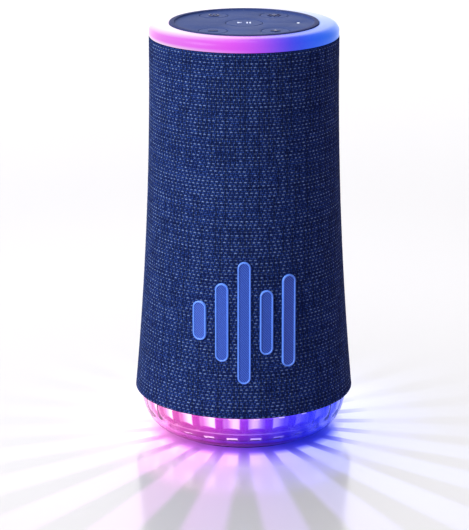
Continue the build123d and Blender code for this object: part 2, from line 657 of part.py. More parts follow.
def light_crown():
    """Frosted light guide that follows the lens's inner wall, with one niche under each lamp."""
    low, high = PLATE_TOP, LENS_HIGH - LAMP_BOARD_T - LAMP_T - SKIN_GAP
    shelf, foot_in = low + CROWN_FOOT_T, LENS_FOOT_R - 3.0
    inset = LENS_T + CROWN_GAP

    def arc(depth, start):
        return ThreePointArc(*[(lens_wall(z, depth), z) for z in (start, (start + high) / 2, high)])

    outer, inner = arc(inset, low), arc(inset + CROWN_T, shelf)
    foot = Polyline(inner @ 0, (foot_in, shelf), (foot_in, low), outer @ 0)
    body = spin(outer, Line(outer @ 1, inner @ 1), inner, foot)
    niche = LENS_TOP_R - inset - NICHE_DEPTH + NICHE_R
    return body - around(FLUTES, lambda: disc(NICHE_R, low + 3, high + 1, niche), FLUTE_TURN)


def lamp_board():
    low = LENS_HIGH - LAMP_BOARD_T
    outer = LENS_TOP_R - LENS_T - 2 * FIT
    return ring(outer, LAMP_BOARD_IN_R, low, LENS_HIGH)


def base_lamps():
    high, half = LENS_HIGH - LAMP_BOARD_T, LAMP / 2
    near, far = LAMP_RADIUS - half, LAMP_RADIUS + half
    return around(FLUTES, lambda: slab(near, far, -half, half, high - LAMP_T, high), FLUTE_TURN)


def base_plate():
    plate = disc(LENS_LIP_R - FIT, FOOT_T, LENS_LIP_TOP) + disc(LENS_FOOT_R - 1, LENS_LIP_TOP, PLATE_TOP)
    for x, y in at_angles(BOSS_ANGLES, POST_RADIUS):
        plate -= disc(SCREW_HEAD_R + FIT, FOOT_T - 1, FOOT_T + SCREW_HEAD_T + FIT, x, y)
        plate -= disc(SCREW_R + SCREW_CLEAR, FOOT_T, PLATE_TOP + 1, x, y)
    return plate


def foot_ring():
    return ring(LENS_FOOT_R - FIT, FOOT_IN_R, 0, FOOT_T)


def base_screws():
    made = []
    for x, y in at_angles(BOSS_ANGLES, BOSS_RADIUS):
        seat = LENS_HIGH + SCREW_HEAD_T + FIT
        made.append(Pos(x, y, seat) * Rot(180, 0, 0) * screw(CORE_LOW - seat + SCREW_BITE - 1))
    for x, y in at_angles(BOSS_ANGLES, POST_RADIUS):
        seat = FOOT_T + SCREW_HEAD_T + FIT
        made.append(Pos(x, y, seat) * Rot(180, 0, 0) * screw(PLATE_TOP - seat + SCREW_BITE - 1))
    return made


# ---- top ---------------------------------------------------------------------------------------
def well_radius():
    """Inner radius of the well that holds the control panel."""
    return PANEL_R + FIT


def top_frame():
    tube_out, tube_in = NECK_R - SKIN_T - FIT, well_radius()
    flange = NECK_R - GRILLE_INSET
    frame = ring(tube_out, tube_in, LID_TOP, SLEEVE_HIGH) + ring(flange, tube_in, LEDGE_HIGH, SLEEVE_HIGH)
    frame += ring(tube_in + 1, tube_in - 2.6, LID_TOP, LEDGE_HIGH)
    frame += disc(tube_in, LID_TOP, LID_TOP + DECK_T)
    for x, y in at_angles(BOSS_ANGLES, BOSS_RADIUS):
        frame -= disc(SCREW_R + SCREW_CLEAR, LID_TOP - 1, LID_TOP + 9, x, y)
        frame -= disc(SCREW_HEAD_R + FIT, LID_TOP + DECK_T, LEDGE_HIGH + 1, x, y)
    return frame - disc(6, LID_TOP - 1, LID_TOP + 9)


def ring_board_radii():
    return NECK_R - FIT - RING_WALL - FIT, well_radius() + 0.9 + FIT


def light_ring():
    outer, low = NECK_R - FIT, SLEEVE_HIGH
    high = low + RING_RISE
    inner = PANEL_R + FIT
    channel_out, channel_in = outer - RING_WALL, inner + 0.9
    roof = high - RING_ROOF
    crown = (inner + 3.2, high - 0.1)
    return spin(
        Line((outer, low), (outer, low + RING_SHOULDER)),
        TangentArc((outer, low + RING_SHOULDER), crown, tangent=(0, 1)),
        Polyline(crown, (inner, high), (inner, low), (channel_in, low), (channel_in, roof)),
        Polyline((channel_in, roof), (channel_out - 2, roof - 0.4), (channel_out, low + 2)),
        Polyline((channel_out, low + 2), (channel_out, low), (outer, low)),
    )


def ring_board():
    outer, inner = ring_board_radii()
    return ring(outer, inner, SLEEVE_HIGH, SLEEVE_HIGH + RING_BOARD_T)


def ring_lamps():
    outer, inner = ring_board_radii()
    middle, low = (outer + inner) / 2, SLEEVE_HIGH + RING_BOARD_T
    return around(RING_LAMPS, lambda: slab(middle - 1, middle + 1, -1, 1, low, low + LAMP_T))


def key_spots():
    """Name, place and radius of each key."""
    return {
        "play": (0, 0, CENTRE_KEY_R),
        "power": (-KEY_X, KEY_Y, OUTER_KEY_R),
        "light": (KEY_X, KEY_Y, OUTER_KEY_R),
        "volume_down": (-KEY_X, -KEY_Y, OUTER_KEY_R),
        "volume_up": (KEY_X, -KEY_Y, OUTER_KEY_R),
    }


def control_panel():
    outer, low = PANEL_R, WEB_TOP
    lip_in = outer - LIP_W
    panel = spin(
        Polyline((0, KEY_FIELD), (lip_in - 0.9, KEY_FIELD)),
        TangentArc((lip_in - 0.9, KEY_FIELD), (lip_in, HEIGHT - 0.1), tangent=(1, 0)),
        Polyline((lip_in, HEIGHT - 0.1), (lip_in + 0.5, HEIGHT), (outer - 0.5, HEIGHT)),
        Line((outer - 0.5, HEIGHT), (outer, HEIGHT - 0.5)),
        Polyline((outer, HEIGHT - 0.5), (outer, low), (outer - SKIRT_T, low), (outer - SKIRT_T, PANEL_UNDER)),
        Polyline((outer - SKIRT_T, PANEL_UNDER), (0, PANEL_UNDER), (0, KEY_FIELD)),
    )
    for x, y, radius in key_spots().values():
        panel -= disc(radius + KEY_GAP, PANEL_UNDER - 1, HEIGHT + 1, x, y)
    return panel - disc(STATUS_R + SCREW_CLEAR, PANEL_UNDER - 1, HEIGHT + 1, STATUS_X)


def icon_faces(name):
    """Generic control symbols, drawn flat about the key's centre."""
    if name == "play":
        triangle = make_face(Polyline((-3.6, -1.9), (-3.6, 1.9), (-0.4, 0), close=True))
        return triangle + Pos(1.5, 0) * Rectangle(0.9, 3.6) + Pos(3.4, 0) * Rectangle(0.9, 3.6)
    if name == "power":
        open_ring = Circle(2.3) - Circle(1.7) - Pos(0, 2) * Rectangle(1.8, 2.4)
        return open_ring + Pos(0, 1.5) * Rectangle(0.6, 2.6)
    if name == "light":
        rays = [Rot(0, 0, 45 * i) * Pos(2.4, 0) * Rectangle(1.1, 0.5) for i in range(8)]
        return Circle(1.2) + rays
    bar = Rectangle(4.2, 0.8)
    return bar + Rectangle(0.8, 4.2) if name == "volume_up" else bar


def key(name):
    x, y, radius = key_spots()[name]
    flange_top = PANEL_UNDER - KEY_STOP_GAP
    cap = disc(radius, flange_top, KEY_FIELD)
    cap = fillet(cap.edges().group_by(Axis.Z)[-1], 0.3)
    body = cap + disc(radius + KEY_FLANGE, flange_top - KEY_FLANGE_T, flange_top)
    body += disc(KEY_STEM_R, WEB_TOP + KEY_TRAVEL + KEY_STOP_GAP, flange_top - 0.5)
    icon = Pos(0, 0, KEY_FIELD - 0.2) * extrude(icon_faces(name), ICON_H + 0.2)
    return Pos(x, y, 0) * (body + icon)


def key_membrane():
    sheet = disc(PANEL_R, WEB_LOW, WEB_TOP) + ring(PANEL_R, PANEL_R - SKIRT_T, BOARD_TOP, WEB_TOP)
    return sheet - disc(STATUS_R + FIT, WEB_LOW - 1, WEB_TOP + 1, STATUS_X)


def key_board():
    """Round board with one switch under each key as separate solids."""
    parts = [disc(PANEL_R, LEDGE_HIGH, BOARD_TOP)]
    for x, y, _ in key_spots().values():
        half = SWITCH / 2
        parts.append(slab(x - half, x + half, y - half, y + half, BOARD_TOP, BOARD_TOP + SWITCH_T))
    return parts


def status_light():
    pipe = disc(STATUS_R, BOARD_TOP + SWITCH_T, KEY_FIELD, STATUS_X)
    return pipe + disc(STATUS_R + 0.8, PANEL_UNDER - 1, PANEL_UNDER, STATUS_X)


# ---- assembly ----------------------------------------------------------------------------------
def all_nodes():
    nodes = {
        "fabric_sleeve": fabric_sleeve(), "grille_shell": grille_shell(), "badge_bars": badge_bars(),
        "acoustic_core": acoustic_core(), "core_lid": core_lid(), "lid_seal": lid_seal(),
        "upper_screws": upper_screws(), "driver_screws": driver_screws(),
        "battery_cells": battery_cells(), "battery_tray": battery_tray(), "main_board": main_board(),
        "usb_socket": usb_socket(), "port_board": port_board(),
        "port_bezel": port_bezel(), "port_flap": port_flap(),
        "base_frame": base_frame(), "base_lens": base_lens(), "light_crown": light_crown(),
        "lamp_board": lamp_board(), "base_lamps": base_lamps(), "base_plate": base_plate(),
        "foot_ring": foot_ring(), "base_screws": base_screws(),
        "top_frame": top_frame(), "light_ring": light_ring(),
        "ring_board": ring_board(), "ring_lamps": ring_lamps(),
        "control_panel": control_panel(), "key_membrane": key_membrane(), "key_board": key_board(),
        "status_light": status_light(),
    }
    driver_pieces = {
        "basket": basket, "top_plate": top_plate, "magnet": magnet, "yoke": yoke,
        "cone": cone, "voice_coil": voice_coil, "surround": surround, "spider": spider,
    }
    for side, plane in driver_planes().items():
        for name, make in driver_pieces.items():
            nodes[f"{side}_{name}"] = plane.location * make()
    radiator_pieces = {"frame": radiator_frame, "plate": radiator_plate, "surround": radiator_surround}
    for side, plane in radiator_planes().items():
        for name, make in radiator_pieces.items():
            nodes[f"{side}_radiator_{name}"] = plane.location * make()
    for name in key_spots():
        nodes[f"{name}_key"] = key(name)
    return nodes


def write(nodes):
    os.makedirs("parts", exist_ok=True)
    for name, shape in nodes.items():
        solids = [s for piece in (shape if isinstance(shape, list) else [shape]) for s in piece.solids()]
        whole = Compound(solids) if len(solids) > 1 else solids[0]
        whole.label = name
        export_step(whole, f"parts/{name}.step")


write(all_nodes())
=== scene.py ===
"""Tall round party speaker: woven sleeve, glowing top ring, round key panel and fluted light base."""

from math import atan2, ceil, cos, pi, radians, sin, sqrt, tau

import bmesh
import bpy
import numpy as np
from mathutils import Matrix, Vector


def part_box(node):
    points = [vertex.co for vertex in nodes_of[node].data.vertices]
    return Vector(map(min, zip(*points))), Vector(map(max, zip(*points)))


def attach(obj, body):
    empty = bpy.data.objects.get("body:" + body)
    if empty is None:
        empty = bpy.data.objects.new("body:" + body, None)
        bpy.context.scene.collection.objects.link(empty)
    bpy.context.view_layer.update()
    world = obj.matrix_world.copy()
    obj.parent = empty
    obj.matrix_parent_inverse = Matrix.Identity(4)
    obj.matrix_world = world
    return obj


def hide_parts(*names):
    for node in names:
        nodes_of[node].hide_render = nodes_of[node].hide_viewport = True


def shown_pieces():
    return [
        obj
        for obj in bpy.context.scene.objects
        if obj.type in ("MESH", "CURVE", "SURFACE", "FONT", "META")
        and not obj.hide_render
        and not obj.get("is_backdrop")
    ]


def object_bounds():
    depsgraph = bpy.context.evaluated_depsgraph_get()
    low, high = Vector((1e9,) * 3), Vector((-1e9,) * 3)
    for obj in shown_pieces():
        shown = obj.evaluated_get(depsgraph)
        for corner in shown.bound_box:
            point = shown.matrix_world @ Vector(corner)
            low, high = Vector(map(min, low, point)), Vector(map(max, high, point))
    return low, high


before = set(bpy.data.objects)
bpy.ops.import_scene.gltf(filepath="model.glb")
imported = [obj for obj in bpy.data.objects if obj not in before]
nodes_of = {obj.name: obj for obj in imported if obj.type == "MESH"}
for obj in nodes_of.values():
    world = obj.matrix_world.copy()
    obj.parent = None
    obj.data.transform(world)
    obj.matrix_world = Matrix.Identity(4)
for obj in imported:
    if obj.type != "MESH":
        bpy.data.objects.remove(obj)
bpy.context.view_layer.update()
MM = 0.001

# ---------------------------------------------------------------------------------- camera
# The viewer stands a metre away, a little to the left of the front, and looks slightly down on the
# speaker with a long lens, so the sides stay nearly parallel.
CAMERA_AT = Vector((-4.1, -1004.0, 366.0)) * MM
CAMERA_DOWN = 16.29
camera_data = bpy.data.cameras.new("camera")
camera_data.lens = 161.73
camera_data.sensor_width = 36.0
camera_data.clip_start, camera_data.clip_end = 0.05, 30.0
camera = bpy.data.objects.new("camera", camera_data)
bpy.context.scene.collection.objects.link(camera)
camera.location = CAMERA_AT
camera.rotation_euler = (radians(90 - CAMERA_DOWN), 0, 0)
bpy.context.scene.camera = camera
bpy.context.scene.view_settings.view_transform = "Standard"

# ------------------------------------------------------------------------------- foot ring
# A flat ring of black rubber, die-cut and glued under the clear base. It carries the whole speaker,
# stops it sliding and is a little shiny where it has been wiped.
PANEL_SEGMENTS = 224


def piece(name, verts, faces, body, material, stands_for=(), slot=None, smooth=True, edge_deg=40):
    """A mesh in metres that rides on a body, shaded smooth except at edges sharper than edge_deg."""
    mesh = bpy.data.meshes.new(name)
    mesh.from_pydata([tuple(v) for v in verts], [], [tuple(f) for f in faces])
    mesh.validate()
    mesh.shade_smooth() if smooth else mesh.shade_flat()
    mesh.materials.append(material)
    obj = bpy.data.objects.new(name, mesh)
    bpy.context.scene.collection.objects.link(obj)
    if smooth:
        mesh.set_sharp_from_angle(angle=radians(edge_deg))
    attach(obj, body)
    if stands_for:
        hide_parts(*stands_for)
    return obj


def rounded(corners, steps=5):
    """A closed outline in mm from corners (r, z, radius), with each corner rounded by its radius."""
    outline = []
    for i, (r, z, radius) in enumerate(corners):
        here = Vector((r, z))
        if radius <= 0:
            outline.append((r, z))
            continue
        before, after = Vector(corners[i - 1][:2]), Vector(corners[(i + 1) % len(corners)][:2])
        a, b = (before - here).normalized(), (after - here).normalized()
        half = a.angle(b) / 2
        cut = radius / np.tan(half)
        centre = here + (a + b).normalized() * radius / sin(half)
        first, last = (here + a * cut - centre).normalized(), (here + b * cut - centre).normalized()
        for k in range(steps + 1):
            arm = first.slerp(last, k / steps) if first.angle(last) > 1e-4 else first
            outline.append(tuple(centre + arm * radius))
    return outline


def turned(outline, count=PANEL_SEGMENTS, centre=(0.0, 0.0), closed=True):
    """Vertices and faces of an outline (r, z) in mm turned round Z; points on the axis are shared."""
    verts, rings = [], []
    for r, z in outline:
        if r < 1e-6:
            rings.append([len(verts)] * count)
            verts.append((centre[0] * MM, centre[1] * MM, z * MM))
            continue
        rings.append(list(range(len(verts), len(verts) + count)))
        for k in range(count):
            a = tau * k / count
            verts.append(((centre[0] + r * cos(a)) * MM, (centre[1] + r * sin(a)) * MM, z * MM))
    faces = []
    for i in range(len(rings) if closed else len(rings) - 1):
        low, high = rings[i], rings[(i + 1) % len(rings)]
        for k in range(count):
            m = (k + 1) % count
            loop = list(dict.fromkeys((low[k], low[m], high[m], high[k])))
            if len(loop) > 2:
                faces.append(loop)
    return verts, faces


class Paint:
    """A material, its node tree and short calls to add and join nodes."""

    def __init__(self, name):
        self.material = bpy.data.materials.new(name)
        self.material.use_nodes = True
        self.tree = self.material.node_tree
        self.shader = self.tree.nodes["Principled BSDF"]

    def set(self, **values):
        for name, value in values.items():
            self.shader.inputs[name.replace("_", " ")].default_value = value
        return self

    def node(self, kind, **inputs):
        return add_node(self.tree, kind, **inputs)

    def group(self, tree, **inputs):
        made = self.tree.nodes.new("ShaderNodeGroup")
        made.node_tree = tree
        for name, value in inputs.items():
            feed(self.tree, value, made.inputs[name.replace("_", " ")])
        return made

    def join(self, output, socket):
        self.tree.links.new(output, self.shader.inputs[socket])
        return self

    def bump(self, height, strength, distance):
        """Height in 0..1 raised by distance metres."""
        node = self.node("ShaderNodeBump", Height=height, Strength=strength, Distance=distance)
        return self.join(node.outputs["Normal"], "Normal")


def feed(tree, value, socket):
    """Joins an output to a socket, or sets the socket to a plain value."""
    if isinstance(value, bpy.types.NodeSocket):
        tree.links.new(value, socket)
    else:
        socket.default_value = value


def add_node(tree, kind, **inputs):
    """A new node; inputs are sockets by name, or by number as _0, _1 and so on."""
    node = tree.nodes.new(kind)
    for name, value in inputs.items():
        if name in ("operation", "data_type", "blend_type", "interpolation", "noise_dimensions", "feature"):
            setattr(node, name, value)
        elif name[0] == "_":
            feed(tree, value, node.inputs[int(name[1:])])
        else:
            feed(tree, value, node.inputs[name.replace("_", " ")])
    return node


def math(tree, operation, a, b=0.0, c=0.0):
    return add_node(tree, "ShaderNodeMath", operation=operation, _0=a, _1=b, _2=c).outputs[0]


def mix_color(tree, share, a, b, blend="MIX"):
    node = tree.nodes.new("ShaderNodeMix")
    node.data_type, node.blend_type = "RGBA", blend
    feed(tree, share, node.inputs[0])
    feed(tree, a, node.inputs[6])
    feed(tree, b, node.inputs[7])
    return node.outputs[2]


def new_group(name, inputs, outputs):
    """A node group with its inputs (name, kind, default) and outputs (name, kind)."""
    tree = bpy.data.node_groups.new(name, "ShaderNodeTree")
    for label, kind, default in inputs:
        socket = tree.interface.new_socket(label, in_out="INPUT", socket_type="NodeSocket" + kind)
        socket.default_value = default
    for label, kind in outputs:
        tree.interface.new_socket(label, in_out="OUTPUT", socket_type="NodeSocket" + kind)
    return tree, tree.nodes.new("NodeGroupInput"), tree.nodes.new("NodeGroupOutput")


def rgb(r, g, b, gain=1.0):
    """A linear colour from the 0..255 values that a colour chart gives."""
    parts = [c / 255 / 12.92 if c <= 10 else ((c / 255 + 0.055) / 1.055) ** 2.4 for c in (r, g, b)]
    return (*[p * gain for p in parts], 1.0)


def moulded_grain():
    """Spark-eroded mould texture, with faint wear and dust: gives a colour, a roughness and a height."""
    inputs = [
        ("Color", "Color", (0.5, 0.5, 0.5, 1)), ("Roughness", "Float", 0.5), ("Scale", "Float", 2500.0),
        ("Dust", "Float", 0.1), ("Smear", "Float", 0.1),
    ]
    tree, source, result = new_group("moulded_grain", inputs, [("Color", "Color"), ("Roughness", "Float"), ("Height", "Float")])
    place = tree.nodes.new("ShaderNodeTexCoord").outputs["Object"]
    fine = add_node(tree, "ShaderNodeTexNoise", Vector=place, Scale=source.outputs["Scale"], Detail=3.0, Roughness=0.6)
    broad = add_node(tree, "ShaderNodeTexNoise", Vector=place, Scale=60.0, Detail=5.0, Roughness=0.65)
    specks = add_node(tree, "ShaderNodeTexNoise", Vector=place, Scale=900.0, Detail=1.0, Roughness=0.5)
    dust = add_node(tree, "ShaderNodeMapRange", Value=specks.outputs["Fac"], From_Min=0.62, From_Max=0.72)
    dust_share = math(tree, "MULTIPLY", dust.outputs["Result"], source.outputs["Dust"])
    tone = math(tree, "MULTIPLY_ADD", broad.outputs["Fac"], 0.3, 0.85)
    toned = mix_color(tree, 1.0, source.outputs["Color"], tone, "MULTIPLY")
    tree.links.new(mix_color(tree, dust_share, toned, (0.45, 0.45, 0.48, 1)), result.inputs["Color"])
    smear = math(tree, "MULTIPLY", math(tree, "SUBTRACT", broad.outputs["Fac"], 0.5), source.outputs["Smear"])
    tree.links.new(math(tree, "ADD", source.outputs["Roughness"], smear), result.inputs["Roughness"])
    tree.links.new(fine.outputs["Fac"], result.inputs["Height"])
    return tree


MOULDED = moulded_grain()


def plastic(name, color, roughness, grain=2500.0, depth=0.00002, dust=0.1, smear=0.15, **settings):
    """Moulded plastic or rubber: grain, uneven gloss and a little dust."""
    paint = Paint(name)
    grained = paint.group(MOULDED, Color=color, Roughness=roughness, Scale=grain, Dust=dust, Smear=smear)
    paint.join(grained.outputs["Color"], "Base Color").join(grained.outputs["Roughness"], "Roughness")
    paint.bump(grained.outputs["Height"], 0.5, depth)
    return paint.set(**settings)


def finish_cad(material, *names):
    """Gives CAD nodes whose shape is right their finish."""
    for name in names:
        data = nodes_of[name].data
        data.materials.clear()
        data.materials.append(material)


FOOT_LOW, FOOT_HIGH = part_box("foot_ring")
foot_outer, foot_top = FOOT_HIGH.x / MM, FOOT_HIGH.z / MM
FOOT_INNER = 26.0
rubber = plastic("foot_rubber", (0.012, 0.012, 0.014, 1), 0.62, grain=1800.0, depth=0.00004, dust=0.25)
foot_outline = rounded([
    (FOOT_INNER, 0, 0.25), (foot_outer, 0, 0.3), (foot_outer, foot_top, 0.1), (FOOT_INNER, foot_top, 0.1),
])
piece("foot_ring_rubber", *turned(foot_outline), "housing", rubber.material, ["foot_ring"], "seal_rubber")

# --------------------------------------------------------------------- base plate and screws
# The floor of the base is a moulded black plate with four counterbored screws. The screws are zinc
# plated pan heads with a cross recess, and they hold the plate, the clear bowl and the posts together.
plate_plastic = plastic("base_plate_plastic", (0.014, 0.014, 0.018, 1), 0.45, grain=1500.0, dust=0.15)
finish_cad(plate_plastic.material, "base_plate")


def brushed_metal(name, color, roughness, stretch=(40.0, 40.0, 900.0)):
    """Metal with fine drawn lines in its gloss."""
    paint = Paint(name)
    place = paint.node("ShaderNodeTexCoord").outputs["Object"]
    drawn = paint.node("ShaderNodeMapping", Vector=place, Scale=stretch).outputs["Vector"]
    lines = paint.node("ShaderNodeTexNoise", Vector=drawn, Scale=12.0, Detail=4.0).outputs["Fac"]
    rough = paint.node("ShaderNodeMapRange", Value=lines, From_Min=0.3, From_Max=0.7,
                       To_Min=roughness * 0.7, To_Max=roughness * 1.4).outputs["Result"]
    shade = math(paint.tree, "MULTIPLY_ADD", lines, 0.4, 0.8)
    paint.join(mix_color(paint.tree, 1.0, color, shade, "MULTIPLY"), "Base Color").join(rough, "Roughness")
    paint.bump(lines, 0.3, 0.00001)
    return paint.set(Metallic=1.0)


zinc = brushed_metal("zinc_plate", (0.62, 0.62, 0.64, 1), 0.3)
finish_cad(zinc.material, "base_screws", "upper_screws", "driver_screws")

# ------------------------------------------------------------------- light crown and its lamps
# Inside the clear bowl stands a crown of frosted plastic with 24 bays, one under each lamp. Each bay
# has a tall window, a rounded scallop that bulges out below it, a fine bead and a small low window.
BAYS = 24
BAY = tau / BAYS


def glow_ramp(tree, angle_share, stops):
    """Colour round the speaker; angle_share runs 0..1 from the back, by the left, the front and the right."""
    ramp = tree.nodes.new("ShaderNodeValToRGB")
    ramp.color_ramp.interpolation = "B_SPLINE"
    elements = ramp.color_ramp.elements
    while len(elements) < len(stops):
        elements.new(0.5)
    for element, (degrees, color) in zip(elements, stops):
        element.position = 0.5 + degrees / 360
        element.color = color
    feed(tree, angle_share, ramp.inputs["Fac"])
    return ramp.outputs["Color"]


def bearing_group():
    """Where a point lies round the speaker (0..1, with the front at 0.5), and its height in metres."""
    tree, _, result = new_group("bearing", [], [("Turn", "Float"), ("Height", "Float")])
    place = tree.nodes.new("ShaderNodeTexCoord").outputs["Object"]
    split = add_node(tree, "ShaderNodeSeparateXYZ", Vector=place)
    back = math(tree, "MULTIPLY", split.outputs["Y"], -1.0)
    angle = math(tree, "ARCTAN2", split.outputs["X"], back)
    tree.links.new(math(tree, "MULTIPLY_ADD", angle, 1 / tau, 0.5), result.inputs["Turn"])
    tree.links.new(split.outputs["Z"], result.inputs["Height"])
    return tree


BEARING = bearing_group()
BASE_GLOW = [
    (-180, rgb(235, 225, 255)), (-120, rgb(255, 214, 246)), (-80, rgb(236, 164, 216)), (-50, rgb(212, 98, 180)),
    (-25, rgb(210, 78, 196)), (-5, rgb(180, 66, 216)), (12, rgb(120, 50, 226)), (28, rgb(66, 44, 232)),
    (50, rgb(44, 58, 238)), (85, rgb(60, 100, 246)), (125, rgb(120, 150, 250)), (180, rgb(235, 225, 255)),
]
CROWN_LOW, CROWN_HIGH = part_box("light_crown")
crown_low, crown_high = CROWN_LOW.z / MM - 1.1, CROWN_HIGH.z / MM
SCALLOP_TOP, SCALLOP_LOW, BEAD_Z, LOW_WINDOW = 11.0, 9.2, 8.9, (4.3, 6.6)
LENS_LOW, LENS_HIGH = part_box("base_lens")
lens_top_r, lens_top, lens_low = 45.4, LENS_HIGH.z / MM, LENS_LOW.z / MM
LENS_FOOT_R, LENS_LIP_R, LENS_WALL, FLUTE_DEPTH = 34.6, 31.0, 2.4, 0.35


def bowl_radius(z, inset):
    """Radius at a height of the bowl that lies inset mm inside the clear bowl's outer face."""
    wide, deep = lens_top_r - LENS_FOOT_R - inset, lens_top - lens_low - inset
    return LENS_FOOT_R + wide * sqrt(max(0.0, 1 - ((lens_top - z) / deep) ** 2))


def bay_place(turn):
    """-1..1 across one bay, 0 in the middle of its window."""
    inside = (turn / BAY) % 1.0
    return 2 * inside - 1


def crown_radius(turn, z):
    """Outer radius of the light crown in mm: windows stand back, ribs and scallops stand out."""
    across = abs(bay_place(turn))
    wall = bowl_radius(z, LENS_WALL + 0.35)
    rib = min(max((across - 0.74) / 0.12, 0), 1)
    arch = SCALLOP_LOW + (SCALLOP_TOP - SCALLOP_LOW) * sqrt(max(0.0, 1 - (across / 0.92) ** 2))
    if z > arch:
        return wall - 1.2 + 1.2 * rib * min(1, (z - arch) / 0.6)
    if z > BEAD_Z:
        rise = min(1.0, (arch - z) / 1.6)
        return wall - 1.0 + 0.9 * sqrt(rise * (2 - rise)) * (1 - 0.35 * across**4)
    if z > BEAD_Z - 0.5:
        return wall
    low_window = LOW_WINDOW[0] < z < LOW_WINDOW[1] and across < 0.46
    return wall - (0.9 if low_window else 0.2)


crown_count, crown_rows = BAYS * 26, 72
crown_verts, crown_faces = [], []
crown_heights = [crown_low + (crown_high - crown_low) * j / (crown_rows - 1) for j in range(crown_rows)]
for z in crown_heights:
    for k in range(crown_count):
        a = tau * k / crown_count
        r = crown_radius(a, z)
        crown_verts.append((r * sin(a) * MM, -r * cos(a) * MM, z * MM))
for z, r in ((crown_high, 39.6), (crown_low + 1.2, 36.0), (crown_low + 1.2, 31.6), (crown_low, 31.6)):
    for k in range(crown_count):
        a = tau * k / crown_count
        crown_verts.append((r * sin(a) * MM, -r * cos(a) * MM, z * MM))
for j in range(crown_rows + 4):
    for k in range(crown_count):
        m, n = (k + 1) % crown_count, (j + 1) % (crown_rows + 4)
        crown_faces.append((j * crown_count + k, j * crown_count + m, n * crown_count + m, n * crown_count + k))

# The crown's glow is a painted glow, emission standing in for the lamps' light through the frosted plastic: each window
# has a painted hot spot, the left and front are painted whiter, the glow is painted darker towards the bottom, and the
# base colour is tinted with the glow hue.
crown_paint = Paint("light_crown_plastic")
bearing = crown_paint.group(BEARING)
tree = crown_paint.tree
hue = glow_ramp(tree, bearing.outputs["Turn"], BASE_GLOW)
bay_turn = math(tree, "FRACT", math(tree, "MULTIPLY", bearing.outputs["Turn"], float(BAYS)))
bay_across = math(tree, "ABSOLUTE", math(tree, "MULTIPLY_ADD", bay_turn, 2.0, -1.0))
height_mm = math(tree, "MULTIPLY", bearing.outputs["Height"], 1000.0)
arch_in = math(tree, "SQRT", math(tree, "MAXIMUM", math(tree, "SUBTRACT", 1.0, math(tree, "POWER", math(tree, "DIVIDE", bay_across, 0.92), 2.0))))
arch_z = math(tree, "MULTIPLY_ADD", arch_in, SCALLOP_TOP - SCALLOP_LOW, SCALLOP_LOW)
above_arch = add_node(tree, "ShaderNodeMapRange", Value=math(tree, "SUBTRACT", height_mm, arch_z), From_Min=0.0, From_Max=0.5).outputs["Result"]
in_window = add_node(tree, "ShaderNodeMapRange", Value=bay_across, From_Min=0.74, From_Max=0.62).outputs["Result"]
window = math(tree, "MULTIPLY", above_arch, in_window)
lean = add_node(tree, "ShaderNodeMapRange", Value=bearing.outputs["Turn"], From_Min=0.475, From_Max=0.545, To_Min=0.5, To_Max=-0.5).outputs["Result"]
off_core = math(tree, "ABSOLUTE", math(tree, "SUBTRACT", math(tree, "MULTIPLY_ADD", bay_turn, 2.0, -1.0), lean))
hot_core = add_node(tree, "ShaderNodeMapRange", Value=off_core, From_Min=0.85, From_Max=0.2, To_Min=0.25, To_Max=1.0).outputs["Result"]
low_in = add_node(tree, "ShaderNodeMapRange", Value=bay_across, From_Min=0.5, From_Max=0.42).outputs["Result"]
low_up = add_node(tree, "ShaderNodeMapRange", Value=height_mm, From_Min=4.2, From_Max=4.3).outputs["Result"]
low_down = add_node(tree, "ShaderNodeMapRange", Value=height_mm, From_Min=6.7, From_Max=6.5).outputs["Result"]
low_window = math(tree, "MULTIPLY", math(tree, "MULTIPLY", low_in, low_up), low_down)
bead_up = add_node(tree, "ShaderNodeMapRange", Value=height_mm, From_Min=8.4, From_Max=8.6).outputs["Result"]
bead_down = add_node(tree, "ShaderNodeMapRange", Value=height_mm, From_Min=9.1, From_Max=8.9).outputs["Result"]
bead = math(tree, "MULTIPLY", bead_up, bead_down)
painted_side_light = add_node(tree, "ShaderNodeMapRange", Value=bearing.outputs["Turn"], From_Min=0.59, From_Max=0.46, To_Min=0.12, To_Max=1.0).outputs["Result"]
bright = math(tree, "MAXIMUM", math(tree, "MULTIPLY", window, hot_core), math(tree, "MULTIPLY", low_window, 1.3))
bright = math(tree, "MAXIMUM", bright, math(tree, "MULTIPLY", bead, 0.4))
painted_highlight_share = math(tree, "MULTIPLY", bright, painted_side_light)
painted_low_shade = add_node(tree, "ShaderNodeMapRange", Value=height_mm, From_Min=4.4, From_Max=13.0, To_Min=0.2, To_Max=0.95).outputs["Result"]
glow_color = mix_color(tree, painted_highlight_share, hue, (1.0, 0.93, 1.0, 1))
level = math(tree, "ADD", painted_low_shade, math(tree, "MULTIPLY", bright, math(tree, "MULTIPLY_ADD", painted_side_light, 0.7, 0.2)))
crown_paint.join(mix_color(tree, 1.0, glow_color, level, "MULTIPLY"), "Emission Color")
frost = crown_paint.group(MOULDED, Color=(0.35, 0.3, 0.4, 1), Roughness=0.3, Scale=1800.0, Dust=0.0, Smear=0.1)
crown_paint.join(frost.outputs["Roughness"], "Roughness")
crown_paint.join(mix_color(tree, 1.0, frost.outputs["Color"], hue, "MULTIPLY"), "Base Color")
crown_paint.bump(frost.outputs["Height"], 0.3, 0.00003)
crown_paint.set(Emission_Strength=1.1)
crown = piece("light_crown", crown_verts, crown_faces, "housing", crown_paint.material, ["light_crown"], "reflector", edge_deg=50)

board_green = plastic("solder_mask", (0.02, 0.09, 0.045, 1), 0.3, grain=700.0, dust=0.0)
finish_cad(board_green.material, "ring_board", "key_board", "main_board", "port_board")
